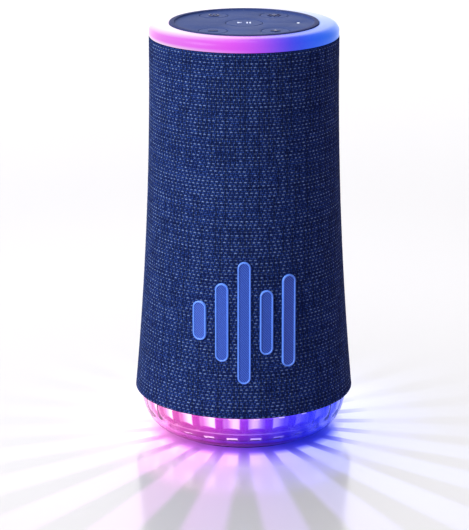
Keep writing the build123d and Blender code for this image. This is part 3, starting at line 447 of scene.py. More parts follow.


# Emissive paint coloured round the speaker: the lamps' own light on the lamps, a painted glow on anything else.
def emission_paint(name, stops, strength):
    paint = Paint(name)
    turn = paint.group(BEARING).outputs["Turn"]
    color = glow_ramp(paint.tree, turn, stops)
    paint.join(mix_color(paint.tree, 0.5, color, (1, 0.95, 1, 1)), "Emission Color")
    haze = paint.node("ShaderNodeTexNoise", Scale=1500.0, Detail=2.0).outputs["Fac"]
    paint.join(math(paint.tree, "MULTIPLY_ADD", haze, 0.2, 0.2), "Roughness")
    return paint.set(Base_Color=(0.8, 0.75, 0.6, 1), Emission_Strength=strength)


finish_cad(emission_paint("base_lamp_epoxy", BASE_GLOW, 2.0).material, "base_lamps")
# The lamp board is no lamp: its emission is a painted glow, the lamps' light painted onto the white mask.
painted_glow_board = emission_paint("white_solder_mask", BASE_GLOW, 0.6)
finish_cad(painted_glow_board.material, "lamp_board")

# ----------------------------------------------------------------------------- clear bowl
# The base is a thick bowl of clear polycarbonate. The outside is polished and smooth, and the inside
# has 24 upright flutes that break the lamps' light into rays. It is moulded in one piece.
lens_count, arc_steps = BAYS * 24, 30


def bowl_arc(share, inset=0.0):
    """Point on the bowl's wall; share runs 0..1 from the foot to the rim."""
    t = share * pi / 2
    r = LENS_FOOT_R + (lens_top_r - LENS_FOOT_R - inset) * sin(t)
    return r, lens_top - (lens_top - lens_low - inset) * cos(t)


lens_verts, lens_rings = [], 0


def lens_ring(r, z, flute=0.0):
    """One ring of the bowl; flute is how deep the inner flutes cut, in mm."""
    global lens_rings
    for k in range(lens_count):
        a = tau * k / lens_count
        cut = flute * sqrt(max(0.0, 1 - min(1.0, abs(bay_place(a)) / 0.94) ** 2))
        lens_verts.append(((r + cut) * sin(a) * MM, -(r + cut) * cos(a) * MM, z * MM))
    lens_rings += 1


for i in range(arc_steps + 1):
    lens_ring(*bowl_arc(i / arc_steps))
lens_ring(lens_top_r - 0.3, lens_top)
lens_ring(lens_top_r - LENS_WALL + 1.0, lens_top)
for i in range(arc_steps + 1):
    share = 1 - i / arc_steps
    r, z = bowl_arc(share, LENS_WALL)
    lens_ring(r, z, flute=FLUTE_DEPTH * min(1.0, max(0.0, (z - 8.5) / 2.5)))
lens_ring(LENS_LIP_R, lens_low + LENS_WALL)
lens_ring(LENS_LIP_R, lens_low)
lens_faces = []
for j in range(lens_rings):
    for k in range(lens_count):
        m, n = (k + 1) % lens_count, (j + 1) % lens_rings
        lens_faces.append((j * lens_count + k, j * lens_count + m, n * lens_count + m, n * lens_count + k))
# The bowl's colour and glow are painted light: the clear plastic is tinted with the glow hue, more strongly at grazing
# edges, with a painted dark rim, a painted shade at the foot and a painted glow that rises towards the edges.
clear = Paint("clear_polycarbonate")
bearing = clear.group(BEARING)
hue = glow_ramp(clear.tree, bearing.outputs["Turn"], BASE_GLOW)
edge_on = clear.node("ShaderNodeLayerWeight", Blend=0.5).outputs["Facing"]
edge_share = clear.node("ShaderNodeMapRange", Value=edge_on, From_Min=0.55, From_Max=0.9).outputs["Result"]
rim_share = clear.node("ShaderNodeMapRange", Value=edge_on, From_Min=0.77, From_Max=0.88).outputs["Result"]
painted_glow_tint = mix_color(clear.tree, 0.45, hue, (1, 1, 1, 1))
painted_glow_tint = mix_color(clear.tree, edge_share, painted_glow_tint, hue)
painted_glow_tint = mix_color(clear.tree, rim_share, painted_glow_tint, mix_color(clear.tree, 1.0, hue, (0.3, 0.1, 0.4, 1), "MULTIPLY"))
painted_foot_shade = mix_color(clear.tree, 1.0, hue, (0.6, 0.45, 0.65, 1), "MULTIPLY")
clear_share = clear.node("ShaderNodeMapRange", Value=bearing.outputs["Height"], From_Min=0.0012, From_Max=0.0028).outputs["Result"]
clear.join(mix_color(clear.tree, clear_share, painted_foot_shade, painted_glow_tint), "Base Color")
painted_edge_glow = clear.node("ShaderNodeMapRange", Value=edge_on, From_Min=0.45, From_Max=0.85, To_Min=0.03, To_Max=0.3).outputs["Result"]
painted_edge_glow = math(clear.tree, "MULTIPLY", painted_edge_glow, math(clear.tree, "MULTIPLY_ADD", rim_share, -0.8, 1.0))
clear.join(mix_color(clear.tree, 1.0, hue, painted_edge_glow, "MULTIPLY"), "Emission Color")
wipe = clear.node("ShaderNodeTexNoise", Scale=300.0, Detail=4.0).outputs["Fac"]
clear.join(clear.node("ShaderNodeMapRange", Value=wipe, From_Min=0.4, From_Max=0.8, To_Min=0.0, To_Max=0.06).outputs["Result"], "Roughness")
clear.set(Transmission_Weight=1.0, IOR=1.28, Specular_IOR_Level=0.2, Emission_Strength=1.0)
lens = piece("clear_bowl", lens_verts, lens_faces, "housing", clear.material, ["base_lens"], "clear", edge_deg=35)

# ------------------------------------------------------------------- frame, core and its insides
# The base frame and the sealed acoustic core are moulded in black ABS. Drivers, radiators, battery
# and boards are screwed into the core and can't be seen once the grille and the sleeve are on.
abs_black = plastic("abs_black", (0.02, 0.02, 0.023, 1), 0.55, grain=1600.0, depth=0.00004)
# Below 17.7 mm, where it stands in the lit bowl, the frame carries a painted glow in the base colours, the lamps' light
# painted in as emission.
frame_black = Paint("lit_abs_black")
where = frame_black.group(BEARING)
lit = frame_black.node("ShaderNodeMapRange", Value=where.outputs["Height"], From_Min=0.01785, From_Max=0.0177).outputs["Result"]
painted_frame_glow = mix_color(frame_black.tree, lit, (0, 0, 0, 1), glow_ramp(frame_black.tree, where.outputs["Turn"], BASE_GLOW))
grained = frame_black.group(MOULDED, Color=(0.02, 0.02, 0.023, 1), Roughness=0.55, Scale=1600.0)
frame_black.join(grained.outputs["Color"], "Base Color").join(grained.outputs["Roughness"], "Roughness")
frame_black.join(painted_frame_glow, "Emission Color").set(Emission_Strength=0.7)
finish_cad(frame_black.material, "base_frame")
finish_cad(abs_black.material, "acoustic_core", "core_lid", "top_frame", "grille_shell", "battery_tray",
           "front_basket", "rear_basket", "left_radiator_frame", "right_radiator_frame")
finish_cad(rubber.material, "lid_seal", "key_membrane", "front_surround", "rear_surround",
           "left_radiator_surround", "right_radiator_surround")
motor_steel = brushed_metal("motor_steel", (0.35, 0.35, 0.37, 1), 0.35)
finish_cad(motor_steel.material, "front_top_plate", "rear_top_plate", "front_yoke", "rear_yoke", "front_magnet",
           "rear_magnet", "usb_socket")
spun_aluminium = brushed_metal("spun_aluminium", (0.6, 0.6, 0.62, 1), 0.25, stretch=(300.0, 300.0, 300.0))
finish_cad(spun_aluminium.material, "left_radiator_plate", "right_radiator_plate", "front_voice_coil",
           "rear_voice_coil", "battery_cells")


def pulp(name, color, grain):
    """Pressed paper or resin-stiffened cloth: short fibres in colour and height."""
    paint = Paint(name)
    fibres = paint.node("ShaderNodeTexNoise", Scale=grain, Detail=6.0, Roughness=0.75, Distortion=1.5).outputs["Fac"]
    shade = math(paint.tree, "MULTIPLY_ADD", fibres, 0.9, 0.55)
    paint.join(mix_color(paint.tree, 1.0, color, shade, "MULTIPLY"), "Base Color")
    paint.bump(fibres, 0.6, 0.00006)
    return paint.set(Roughness=0.85)


finish_cad(pulp("cone_paper", (0.035, 0.035, 0.04, 1), 900.0).material, "front_cone", "rear_cone")
finish_cad(pulp("spider_cloth", (0.45, 0.33, 0.14, 1), 1200.0).material, "front_spider", "rear_spider")

# ---------------------------------------------------------------------------- woven sleeve
# The side wall is covered by one tube of polyester cloth, woven from thick navy yarns of mixed tone
# and stretched over the shell. Both edges are turned in, and the back has a hole for the port.
BASE_R, NECK_R, SLEEVE_LOW, SLEEVE_HIGH, FLARE_START = 48.0, 40.8, 18.0, 175.0, 168.0
FLARE_DROP = FLARE_START - SLEEVE_LOW
FLARE_R = (FLARE_DROP**2 + (BASE_R - NECK_R) ** 2) / (2 * (BASE_R - NECK_R))
YARNS_ROUND, YARN_RISE = 256, 0.76
RELIEF = 0.13
LONG_FLOAT, SHORT_FLOAT = 0.78, 0.42


def skin_radius(z):
    if z >= FLARE_START:
        return NECK_R
    return NECK_R + FLARE_R - sqrt(FLARE_R**2 - (FLARE_START - z) ** 2)


def weave_height(u, v):
    """0..1 height of the weave; u counts yarns round, v counts them up. Light rows carry long floats."""
    dark_row = np.mod(np.floor(v), 2)
    step = np.mod(np.floor(v / 2), 4)
    pos = np.mod(u + np.minimum(step, 4 - step) * 0.5 + dark_row, 2) - 1
    half = LONG_FLOAT - (LONG_FLOAT - SHORT_FLOAT) * dark_row
    fv = v - np.floor(v) - 0.5
    weft = np.cos(pi * pos / (2 * half)) * np.sqrt(np.maximum(0.0, 1 - (1.9 * fv) ** 2))
    warp = np.cos(pi * fv) * np.sqrt(np.maximum(0.0, 1 - ((1 - abs(pos)) / (1 - half)) ** 2))
    return np.where(abs(pos) < half, weft, warp * 0.8)


rise_steps = int(ceil((SLEEVE_HIGH - SLEEVE_LOW) / YARN_RISE)) * 2
sleeve_columns = YARNS_ROUND * 2
turns = (np.arange(sleeve_columns) + 0.5) / sleeve_columns * tau
rise = np.linspace(SLEEVE_LOW + 0.35, SLEEVE_HIGH - 0.35, rise_steps)
rows = [(skin_radius(SLEEVE_LOW) - 1.3, SLEEVE_LOW + 0.55, 0), (skin_radius(SLEEVE_LOW) - 0.75, SLEEVE_LOW + 0.12, 0)]
rows += [(skin_radius(SLEEVE_LOW) - 0.3, SLEEVE_LOW + 0.05, 0)]
rows += [(skin_radius(z), z, 1) for z in rise]
rows += [(NECK_R - 0.3, SLEEVE_HIGH - 0.05, 0), (NECK_R - 0.8, SLEEVE_HIGH - 0.1, 0), (NECK_R - 1.2, SLEEVE_HIGH - 0.4, 0)]
sleeve_verts = []
for r, z, woven in rows:
    lift = weave_height(turns / tau * YARNS_ROUND, np.full_like(turns, z / YARN_RISE)) * RELIEF if woven else 0.0
    radius = (r - RELIEF * woven + lift) * np.ones_like(turns)
    sleeve_verts += list(zip(radius * np.sin(turns) * MM, -radius * np.cos(turns) * MM, np.full_like(turns, z * MM)))
sleeve_verts = [Vector(v) for v in sleeve_verts]
PORT_Z, PORT_HALF_W, PORT_HALF_H, PORT_CORNER = 36.0, 8.45, 5.45, 2.9
deep = set()
for i, v in enumerate(sleeve_verts):
    if v.y < 0:
        continue
    x, z = v.x / MM, v.z / MM - PORT_Z
    inner = Vector((max(abs(x) - (PORT_HALF_W - PORT_CORNER), 0), max(abs(z) - (PORT_HALF_H - PORT_CORNER), 0)))
    edge = inner.length - PORT_CORNER
    if edge < -0.75:
        deep.add(i)
    elif edge < 0 and inner.length > 0:
        push = inner.normalized() * -edge
        v.x += push.x * MM * (1 if x > 0 else -1)
        v.z += push.y * MM * (1 if z > 0 else -1)
sleeve_faces = []
for j in range(len(rows) - 1):
    for k in range(sleeve_columns):
        m = (k + 1) % sleeve_columns
        face = (j * sleeve_columns + k, j * sleeve_columns + m, (j + 1) * sleeve_columns + m, (j + 1) * sleeve_columns + k)
        if not deep.intersection(face):
            sleeve_faces.append(face)


def yarn_weave():
    """Weave of long light floats and short dark ones round the speaker: gives masks, a tone and a height."""
    inputs = [("Yarns", "Float", 256.0), ("Rise", "Float", 0.00076), ("Melange", "Float", 0.5)]
    outputs = [("Light", "Float"), ("Tone", "Float"), ("Gap", "Float"), ("Height", "Float")]
    tree, source, result = new_group("yarn_weave", inputs, outputs)
    where = tree.nodes.new("ShaderNodeGroup")
    where.node_tree = BEARING
    u = math(tree, "MULTIPLY", where.outputs["Turn"], source.outputs["Yarns"])
    v = math(tree, "DIVIDE", where.outputs["Height"], source.outputs["Rise"])
    j = math(tree, "FLOOR", v)
    fv = math(tree, "SUBTRACT", math(tree, "SUBTRACT", v, j), 0.5)
    dark_row = math(tree, "FLOORED_MODULO", j, 2.0)
    pair = math(tree, "FLOOR", math(tree, "MULTIPLY", v, 0.5))
    moved = math(tree, "MULTIPLY_ADD", math(tree, "PINGPONG", pair, 2.0), 0.5, u)
    moved = math(tree, "ADD", moved, dark_row)
    pos = math(tree, "SUBTRACT", math(tree, "FLOORED_MODULO", moved, 2.0), 1.0)
    reach = math(tree, "ABSOLUTE", pos)
    half = math(tree, "MULTIPLY_ADD", dark_row, SHORT_FLOAT - LONG_FLOAT, LONG_FLOAT)
    cross = math(tree, "LESS_THAN", reach, half)
    lengthwise = math(tree, "SUBTRACT", 1.0, cross)
    along = math(tree, "DIVIDE", pos, math(tree, "MULTIPLY", half, 2.0))
    squeeze = math(tree, "MULTIPLY_ADD", dark_row, -0.5, 2.4)
    flat = math(tree, "POWER", math(tree, "ABSOLUTE", math(tree, "MULTIPLY", fv, squeeze)), 2.0)
    round_off = math(tree, "SQRT", math(tree, "MAXIMUM", math(tree, "SUBTRACT", 1.0, flat), 0.0))
    weft = math(tree, "MULTIPLY", math(tree, "COSINE", math(tree, "MULTIPLY", along, pi)), round_off)
    side = math(tree, "DIVIDE", math(tree, "SUBTRACT", 1.0, reach), math(tree, "SUBTRACT", 1.0, half))
    side_off = math(tree, "MAXIMUM", math(tree, "SUBTRACT", 1.0, math(tree, "POWER", side, 2.0)), 0.0)
    warp = math(tree, "MULTIPLY", math(tree, "COSINE", math(tree, "MULTIPLY", fv, pi)), math(tree, "SQRT", side_off))
    body = math(tree, "ADD", math(tree, "MULTIPLY", weft, cross), math(tree, "MULTIPLY", math(tree, "MULTIPLY", warp, 0.8), lengthwise))
    twist = math(tree, "SINE", math(tree, "MULTIPLY_ADD", u, 30.0, math(tree, "MULTIPLY", v, 22.0)))
    fuzz_at = add_node(tree, "ShaderNodeCombineXYZ", X=u, Y=math(tree, "MULTIPLY", v, 0.7))
    fuzz = add_node(tree, "ShaderNodeTexNoise", Vector=fuzz_at.outputs[0], Scale=3.0, Detail=4.0, Roughness=0.7).outputs["Fac"]
    ply = math(tree, "MULTIPLY_ADD", twist, 0.07, math(tree, "MULTIPLY", math(tree, "SUBTRACT", fuzz, 0.5), 0.35))
    tree.links.new(math(tree, "ADD", body, ply), result.inputs["Height"])
    cell = add_node(tree, "ShaderNodeCombineXYZ", X=math(tree, "FLOOR", math(tree, "MULTIPLY", moved, 0.5)), Y=j, Z=cross)
    spot = add_node(tree, "ShaderNodeTexWhiteNoise", Vector=cell.outputs[0]).outputs["Value"]
    run_at = add_node(tree, "ShaderNodeCombineXYZ", X=math(tree, "MULTIPLY", u, 0.09), Y=math(tree, "MULTIPLY", v, 0.11))
    run = add_node(tree, "ShaderNodeTexNoise", Vector=run_at.outputs[0], Scale=1.0, Detail=2.0).outputs["Fac"]
    weft_yarn = add_node(tree, "ShaderNodeTexWhiteNoise", Vector=add_node(tree, "ShaderNodeCombineXYZ", Y=j, Z=5.0).outputs[0])
    lively = math(tree, "MULTIPLY_ADD", spot, 0.55, math(tree, "MULTIPLY", weft_yarn.outputs["Value"], 0.2))
    lively = math(tree, "MULTIPLY_ADD", run, 0.25, lively)
    tone = math(tree, "MULTIPLY_ADD", math(tree, "SUBTRACT", lively, 0.5), source.outputs["Melange"], 0.5)
    tree.links.new(tone, result.inputs["Tone"])
    tree.links.new(math(tree, "MULTIPLY", cross, math(tree, "SUBTRACT", 1.0, dark_row)), result.inputs["Light"])
    # Gap marks the low parts between yarns and some deeper slots; the cloth paints it as shade.
    gap = add_node(tree, "ShaderNodeMapRange", Value=body, From_Min=0.12, From_Max=0.74).outputs["Result"]
    column = add_node(tree, "ShaderNodeCombineXYZ", X=math(tree, "FLOOR", math(tree, "MULTIPLY", u, 0.5)), Y=math(tree, "FLOOR", math(tree, "MULTIPLY", v, 0.06)))
    deep_column = math(tree, "GREATER_THAN", add_node(tree, "ShaderNodeTexWhiteNoise", Vector=column.outputs[0]).outputs["Value"], 0.5)
    in_slot = math(tree, "LESS_THAN", math(tree, "FRACT", math(tree, "MULTIPLY", u, 0.5)), 0.3)
    slot = math(tree, "MULTIPLY", math(tree, "MULTIPLY", deep_column, in_slot), 0.75)
    tree.links.new(math(tree, "MAXIMUM", math(tree, "SUBTRACT", 1.0, gap), slot), result.inputs["Gap"])
    return tree


cloth = Paint("navy_polyester")
weave = cloth.group(yarn_weave(), Yarns=float(YARNS_ROUND), Rise=YARN_RISE * MM, Melange=1.5)
tree = cloth.tree
light_color = mix_color(tree, weave.outputs["Tone"], (0.018, 0.04, 0.17, 1), (0.13, 0.2, 0.42, 1))
dark_color = mix_color(tree, weave.outputs["Tone"], (0.004, 0.014, 0.1, 1), (0.02, 0.056, 0.28, 1))
yarn_color = mix_color(tree, weave.outputs["Light"], dark_color, light_color)
# The hollows between yarns are painted near black: painted shade.
cloth.join(mix_color(tree, weave.outputs["Gap"], yarn_color, (0.001, 0.003, 0.02, 1)), "Base Color")
cloth.bump(weave.outputs["Height"], 0.8, 0.00018)
cloth.set(Roughness=0.85, Specular_IOR_Level=0.06)
sleeve = piece("woven_sleeve", sleeve_verts, sleeve_faces, "housing", cloth.material, ["fabric_sleeve"], "cloth", edge_deg=180)

# ------------------------------------------------------------------------------- front badge
# Five upright bars of blue film-covered plastic are heat-pressed on the cloth, like a level meter.
# Each has a raised light rim and a lower field that is engraved with fine slanting lines.
BADGE_Z, BAR_PITCH, BAR_W, BAR_T = 60.0, 9.4, 5.6, 0.9
BAR_HEIGHTS = (17.0, 34.0, 53.0, 28.0, 40.0)
RIM_W = 0.75


def capsule(width, height, inset, steps=14):
    """Outline of an upright rounded bar about its centre, counterclockwise."""
    r = width / 2 - inset
    half = height / 2 - width / 2
    top = [(r * cos(pi * k / steps), half + r * sin(pi * k / steps)) for k in range(steps + 1)]
    low = [(-x, -z) for x, z in top]
    side = 40
    left = [(-r, half - 2 * half * k / side) for k in range(1, side)]
    right = [(r, -half + 2 * half * k / side) for k in range(1, side)]
    return top + left + low + right


def on_skin(x, z, lift):
    """A point at lift mm over the cloth at the front, in metres."""
    radius = skin_radius(z)
    y = -sqrt(radius**2 - x**2)
    return Vector((x * (1 + lift / radius), y * (1 + lift / radius), z)) * MM


BADGE_LOOPS = [(0.0, -0.2), (0.0, 0.55), (0.12, 0.76), (0.3, 0.86), (RIM_W - 0.25, 0.86), (RIM_W - 0.08, 0.78), (RIM_W, 0.5)]
badge_fill = Paint("badge_film")
tree = badge_fill.tree
place = badge_fill.node("ShaderNodeTexCoord").outputs["Object"]
turned_place = badge_fill.node("ShaderNodeMapping", Vector=place, Rotation=(0.0, radians(42), 0.0)).outputs["Vector"]
hatch = badge_fill.node("ShaderNodeTexWave", Vector=turned_place, Scale=430.0, Distortion=0.0)
hatch.wave_type, hatch.bands_direction, hatch.wave_profile = "BANDS", "X", "SIN"
speckle = badge_fill.node("ShaderNodeTexNoise", Vector=place, Scale=1400.0, Detail=3.0).outputs["Fac"]
lines = math(tree, "MULTIPLY", hatch.outputs["Fac"], math(tree, "MULTIPLY_ADD", speckle, 0.8, 0.5))
badge_fill.join(mix_color(tree, lines, (0.008, 0.03, 0.25, 1), (0.05, 0.14, 0.62, 1)), "Base Color")
badge_fill.bump(hatch.outputs["Fac"], 0.6, 0.00012)
badge_fill.set(Roughness=0.38, Specular_IOR_Level=0.4)
badge_rim = plastic("badge_rim", (0.1, 0.25, 0.85, 1), 0.3, grain=2500.0, dust=0.0)
badge_verts, badge_faces, fill_faces = [], [], []
for bar, tall in enumerate(BAR_HEIGHTS):
    centre_x = (bar - 2) * BAR_PITCH
    loops = []
    for inset, lift in BADGE_LOOPS:
        loops.append(range(len(badge_verts), len(badge_verts) + len(capsule(BAR_W, tall, inset))))
        badge_verts += [on_skin(centre_x + x, BADGE_Z + z, lift) for x, z in capsule(BAR_W, tall, inset)]
    for low, high in zip(loops, loops[1:]):
        for k in range(len(low)):
            m = (k + 1) % len(low)
            badge_faces.append((low[k], low[m], high[m], high[k]))
    fill_faces.append(loops[-1])
badge_faces += fill_faces
badge = piece("level_bar_badge", badge_verts, badge_faces, "housing", badge_rim.material, ["badge_bars"], "badge_blue", edge_deg=50)
badge.data.materials.append(badge_fill.material)
shaper = bmesh.new()
shaper.from_mesh(badge.data)
wide = [f for f in shaper.faces if len(f.verts) > 8]
made = bmesh.ops.triangulate(shaper, faces=wide, quad_method="BEAUTY", ngon_method="BEAUTY")
for f in made["faces"]:
    f.material_index = 1
shaper.to_mesh(badge.data)
shaper.free()

# ------------------------------------------------------------------------------ charging port
# The socket at the back sits in a dark bezel that is pushed through the cloth. A soft rubber cover
# turns on a bead at its left end, seats flush in the bezel and has a nail notch at the other end.
port_plastic = plastic("port_plastic", (0.018, 0.022, 0.035, 1), 0.5, grain=1800.0)
finish_cad(port_plastic.material, "port_bezel")
cover_rubber = plastic("cover_rubber", (0.016, 0.022, 0.045, 1), 0.7, grain=1200.0, depth=0.00004, dust=0.03)
finish_cad(cover_rubber.material, "port_flap")

# -------------------------------------------------------------------------------- light ring
# A ring of milky acrylic closes the top of the sleeve. Its glow from pink through violet to blue, the light of the
# lamps under it, is painted into the acrylic as emission; the flat top is painted paler than the round outer edge
# because it is closer to them, and the left side is painted paler still as a painted highlight.
RING_LOW, RING_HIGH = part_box("light_ring")
ring_low, ring_top = RING_LOW.z / MM, RING_LOW.z / MM + 5.7
RING_OUTER, RING_INNER = 40.6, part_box("control_panel")[1].x / MM + 0.2
ring_outline = [(RING_OUTER - 0.25, ring_low), (RING_OUTER, ring_low + 0.25)]
ring_outline += [(36.9 + 3.7 * cos(t), ring_low + 2.4 + 3.25 * sin(t)) for t in np.linspace(0, pi / 2, 18)]
ring_outline += [(34.6, ring_top - 0.02), (RING_INNER + 0.35, ring_top - 0.05), (RING_INNER + 0.08, ring_top - 0.2)]
ring_outline += [(RING_INNER, ring_top - 0.45), (RING_INNER, ring_low), (RING_INNER + 0.9, ring_low)]
ring_outline += [(RING_INNER + 0.9, ring_top - 2.0), (36.9, ring_top - 2.4)]
ring_outline += [(38.9, ring_low + 2.0), (38.9, ring_low)]
RING_GLOW = [
    (-180, rgb(246, 238, 255)), (-125, rgb(255, 226, 250)), (-85, rgb(252, 175, 240)), (-62, rgb(234, 126, 238)),
    (-40, rgb(232, 120, 242)), (-14, rgb(232, 88, 245)), (-3, rgb(224, 86, 247)), (10, rgb(176, 80, 246)),
    (20, rgb(122, 76, 246)), (30, rgb(60, 72, 240)), (44, rgb(44, 98, 248)), (62, rgb(54, 112, 244)),
    (80, rgb(84, 136, 242)), (112, rgb(160, 186, 246)), (180, rgb(246, 238, 255)),
]
ring_paint = Paint("milky_acrylic")
tree = ring_paint.tree
bearing = ring_paint.group(BEARING)
hue = glow_ramp(tree, bearing.outputs["Turn"], RING_GLOW)
spread = math(tree, "SUBTRACT", math(tree, "MULTIPLY", bearing.outputs["Height"], 1000.0), ring_low)
# Painted highlight: the left side is painted paler on its top and on its low outer edge.
painted_left_highlight = add_node(tree, "ShaderNodeMapRange", Value=bearing.outputs["Turn"], From_Min=0.52, From_Max=0.32).outputs["Result"]
pale_from = math(tree, "MULTIPLY_ADD", painted_left_highlight, -1.3, 5.1)
palest = math(tree, "MULTIPLY_ADD", painted_left_highlight, 0.76, 0.12)
painted_top_glow = add_node(tree, "ShaderNodeMapRange", Value=spread, From_Min=pale_from, From_Max=5.75, To_Max=palest).outputs["Result"]
painted_low_edge_highlight = add_node(tree, "ShaderNodeMapRange", Value=spread, From_Min=1.6, From_Max=0.2, To_Max=0.75).outputs["Result"]
painted_low_edge_highlight = math(tree, "MULTIPLY", painted_low_edge_highlight, painted_left_highlight)
cloud = add_node(tree, "ShaderNodeTexNoise", Scale=90.0, Detail=2.0).outputs["Fac"]
pale = math(tree, "MAXIMUM", painted_top_glow, painted_low_edge_highlight)
pale = math(tree, "MULTIPLY_ADD", math(tree, "SUBTRACT", cloud, 0.5), 0.12, pale)
painted_ring_glow = mix_color(tree, pale, hue, (0.98, 0.93, 1.0, 1))
ring_paint.join(painted_ring_glow, "Emission Color")
ring_paint.join(mix_color(tree, 1.0, painted_ring_glow, (0.1, 0.1, 0.1, 1), "MULTIPLY"), "Base Color")
ring_paint.join(math(tree, "MULTIPLY_ADD", cloud, 0.1, 0.26), "Roughness")
ring_paint.set(Emission_Strength=0.85, Specular_IOR_Level=0.12)
piece("light_ring_acrylic", *turned(ring_outline, 256), "housing", ring_paint.material, ["light_ring"], "diffuser", edge_deg=45)
finish_cad(emission_paint("ring_lamp_epoxy", RING_GLOW, 2.0).material, "ring_lamps")

# ----------------------------------------------------------------------------- control panel
# A dished disc of slate-blue plastic with a raised lip drops into the ring. The key field is flat,
# lightly textured, and has five round holes with softened edges and one for the status light.
PANEL_LOW, PANEL_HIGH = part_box("control_panel")
panel_top, PANEL_R, LIP_W, DISH, PANEL_T = PANEL_HIGH.z / MM, PANEL_HIGH.x / MM, 2.2, 0.8, 2.6
field_z, lip_in = panel_top - DISH, PANEL_R - LIP_W
KEYS = {
    "play": (0.0, 0.0, 0.244 * PANEL_R), "power": (-0.4085 * PANEL_R, 0.564 * PANEL_R, 0.189 * PANEL_R),
    "light": (0.4085 * PANEL_R, 0.564 * PANEL_R, 0.189 * PANEL_R),
    "volume_down": (-0.4085 * PANEL_R, -0.564 * PANEL_R, 0.189 * PANEL_R),
    "volume_up": (0.4085 * PANEL_R, -0.564 * PANEL_R, 0.189 * PANEL_R),
}
STATUS_X, STATUS_R, KEY_GAP = 0.72 * PANEL_R, 0.9, 0.2
SLATE = (0.032, 0.055, 0.176, 1)
shaper = bmesh.new()


def loop_at(bm, x, y, r, z, count):
    ring = [bm.verts.new(((x + r * cos(tau * k / count)) * MM, (y + r * sin(tau * k / count)) * MM, z * MM)) for k in range(count)]
    return ring


def bridge(bm, low, high):
    for k in range(len(low)):
        m = (k + 1) % len(low)
        bm.faces.new((low[k], low[m], high[m], high[k]))


def edges_of(bm, ring):
    return [bm.edges.get((ring[k], ring[(k + 1) % len(ring)])) or bm.edges.new((ring[k], ring[(k + 1) % len(ring)])) for k in range(len(ring))]


field_r = lip_in - 0.9
wall = [(field_r, field_z)]
wall += [(field_r + 0.9 * sin(t), field_z + 0.7 * (1 - cos(t))) for t in np.linspace(0.15, pi / 2, 8)]
wall += [(lip_in + 0.18, panel_top - 0.03), (lip_in + 0.45, panel_top), (PANEL_R - 0.5, panel_top), (PANEL_R - 0.2, panel_top - 0.08)]
wall += [(PANEL_R, panel_top - 0.4), (PANEL_R, panel_top - 6.5), (PANEL_R - 2, panel_top - 6.5), (PANEL_R - 2, field_z - PANEL_T)]
rings = [loop_at(shaper, 0, 0, r, z, PANEL_SEGMENTS) for r, z in wall]
for low, high in zip(rings, rings[1:]):
    bridge(shaper, low, high)
borders = edges_of(shaper, rings[0])
for x, y, radius in [*KEYS.values(), (STATUS_X, 0.0, STATUS_R - 0.1)]:
    hole = radius + KEY_GAP
    count = 96 if radius > 2 else 28
    drop = [loop_at(shaper, x, y, r, z, count) for r, z in (
        (hole + 0.25, field_z), (hole + 0.12, field_z - 0.04), (hole + 0.03, field_z - 0.14), (hole, field_z - 0.3), (hole, field_z - PANEL_T))]
    for low, high in zip(drop, drop[1:]):
        bridge(shaper, high, low)
    borders += edges_of(shaper, drop[0])
bmesh.ops.triangle_fill(shaper, use_beauty=True, use_dissolve=False, edges=borders, normal=(0, 0, 1))
bmesh.ops.recalc_face_normals(shaper, faces=shaper.faces)
panel_mesh = bpy.data.meshes.new("panel")
shaper.to_mesh(panel_mesh)
shaper.free()
panel_blue = Paint("slate_blue_plastic")
tree = panel_blue.tree
split = panel_blue.node("ShaderNodeSeparateXYZ", Vector=panel_blue.node("ShaderNodeTexCoord").outputs["Object"])
flat_place = panel_blue.node("ShaderNodeCombineXYZ", X=split.outputs["X"], Y=split.outputs["Y"]).outputs[0]
from_middle = add_node(tree, "ShaderNodeVectorMath", operation="LENGTH", _0=flat_place).outputs["Value"]
# The lip is a darker navy of its own, and the darkening reaching down the dish wall is painted shade.
dark_lip_and_shade = add_node(tree, "ShaderNodeMapRange", Value=from_middle, From_Min=(PANEL_R - 2.7) * MM, From_Max=(PANEL_R - 1.6) * MM).outputs["Result"]
slate = mix_color(tree, dark_lip_and_shade, SLATE, (0.02, 0.03, 0.11, 1))
grained = panel_blue.group(MOULDED, Color=slate, Roughness=0.5, Scale=2600.0, Dust=0.05, Smear=0.15)
panel_blue.join(grained.outputs["Color"], "Base Color").join(grained.outputs["Roughness"], "Roughness")
panel_blue.bump(grained.outputs["Height"], 0.5, 0.00002).set(Specular_IOR_Level=0.02)
panel = piece("control_panel_disc", [v.co for v in panel_mesh.vertices], [p.vertices for p in panel_mesh.polygons],
              "housing", panel_blue.material, ["control_panel"], "panel_blue", edge_deg=40)

# --------------------------------------------------------------------------------------- keys
# The five keys are slate-blue caps that stand level with the field and carry raised symbols. The
# middle one has a pale printed play and pause mark, given a faint painted glow; the others have dark ones.
key_blue = plastic("key_plastic", SLATE, 0.46, grain=2600.0, depth=0.00002, dust=0.05, Specular_IOR_Level=0.02)
dark_ink = plastic("dark_symbol", rgb(36, 42, 84), 0.35, dust=0.0, Specular_IOR_Level=0.15)
# The pale print carries a faint painted glow as emission.
pale_ink_and_glow = plastic("pale_symbol", rgb(186, 194, 226), 0.4, dust=0.0, Emission_Color=rgb(200, 210, 240), Emission_Strength=0.1)
STEM_R, FLANGE, STOP_GAP = 1.6, 0.9, 0.1


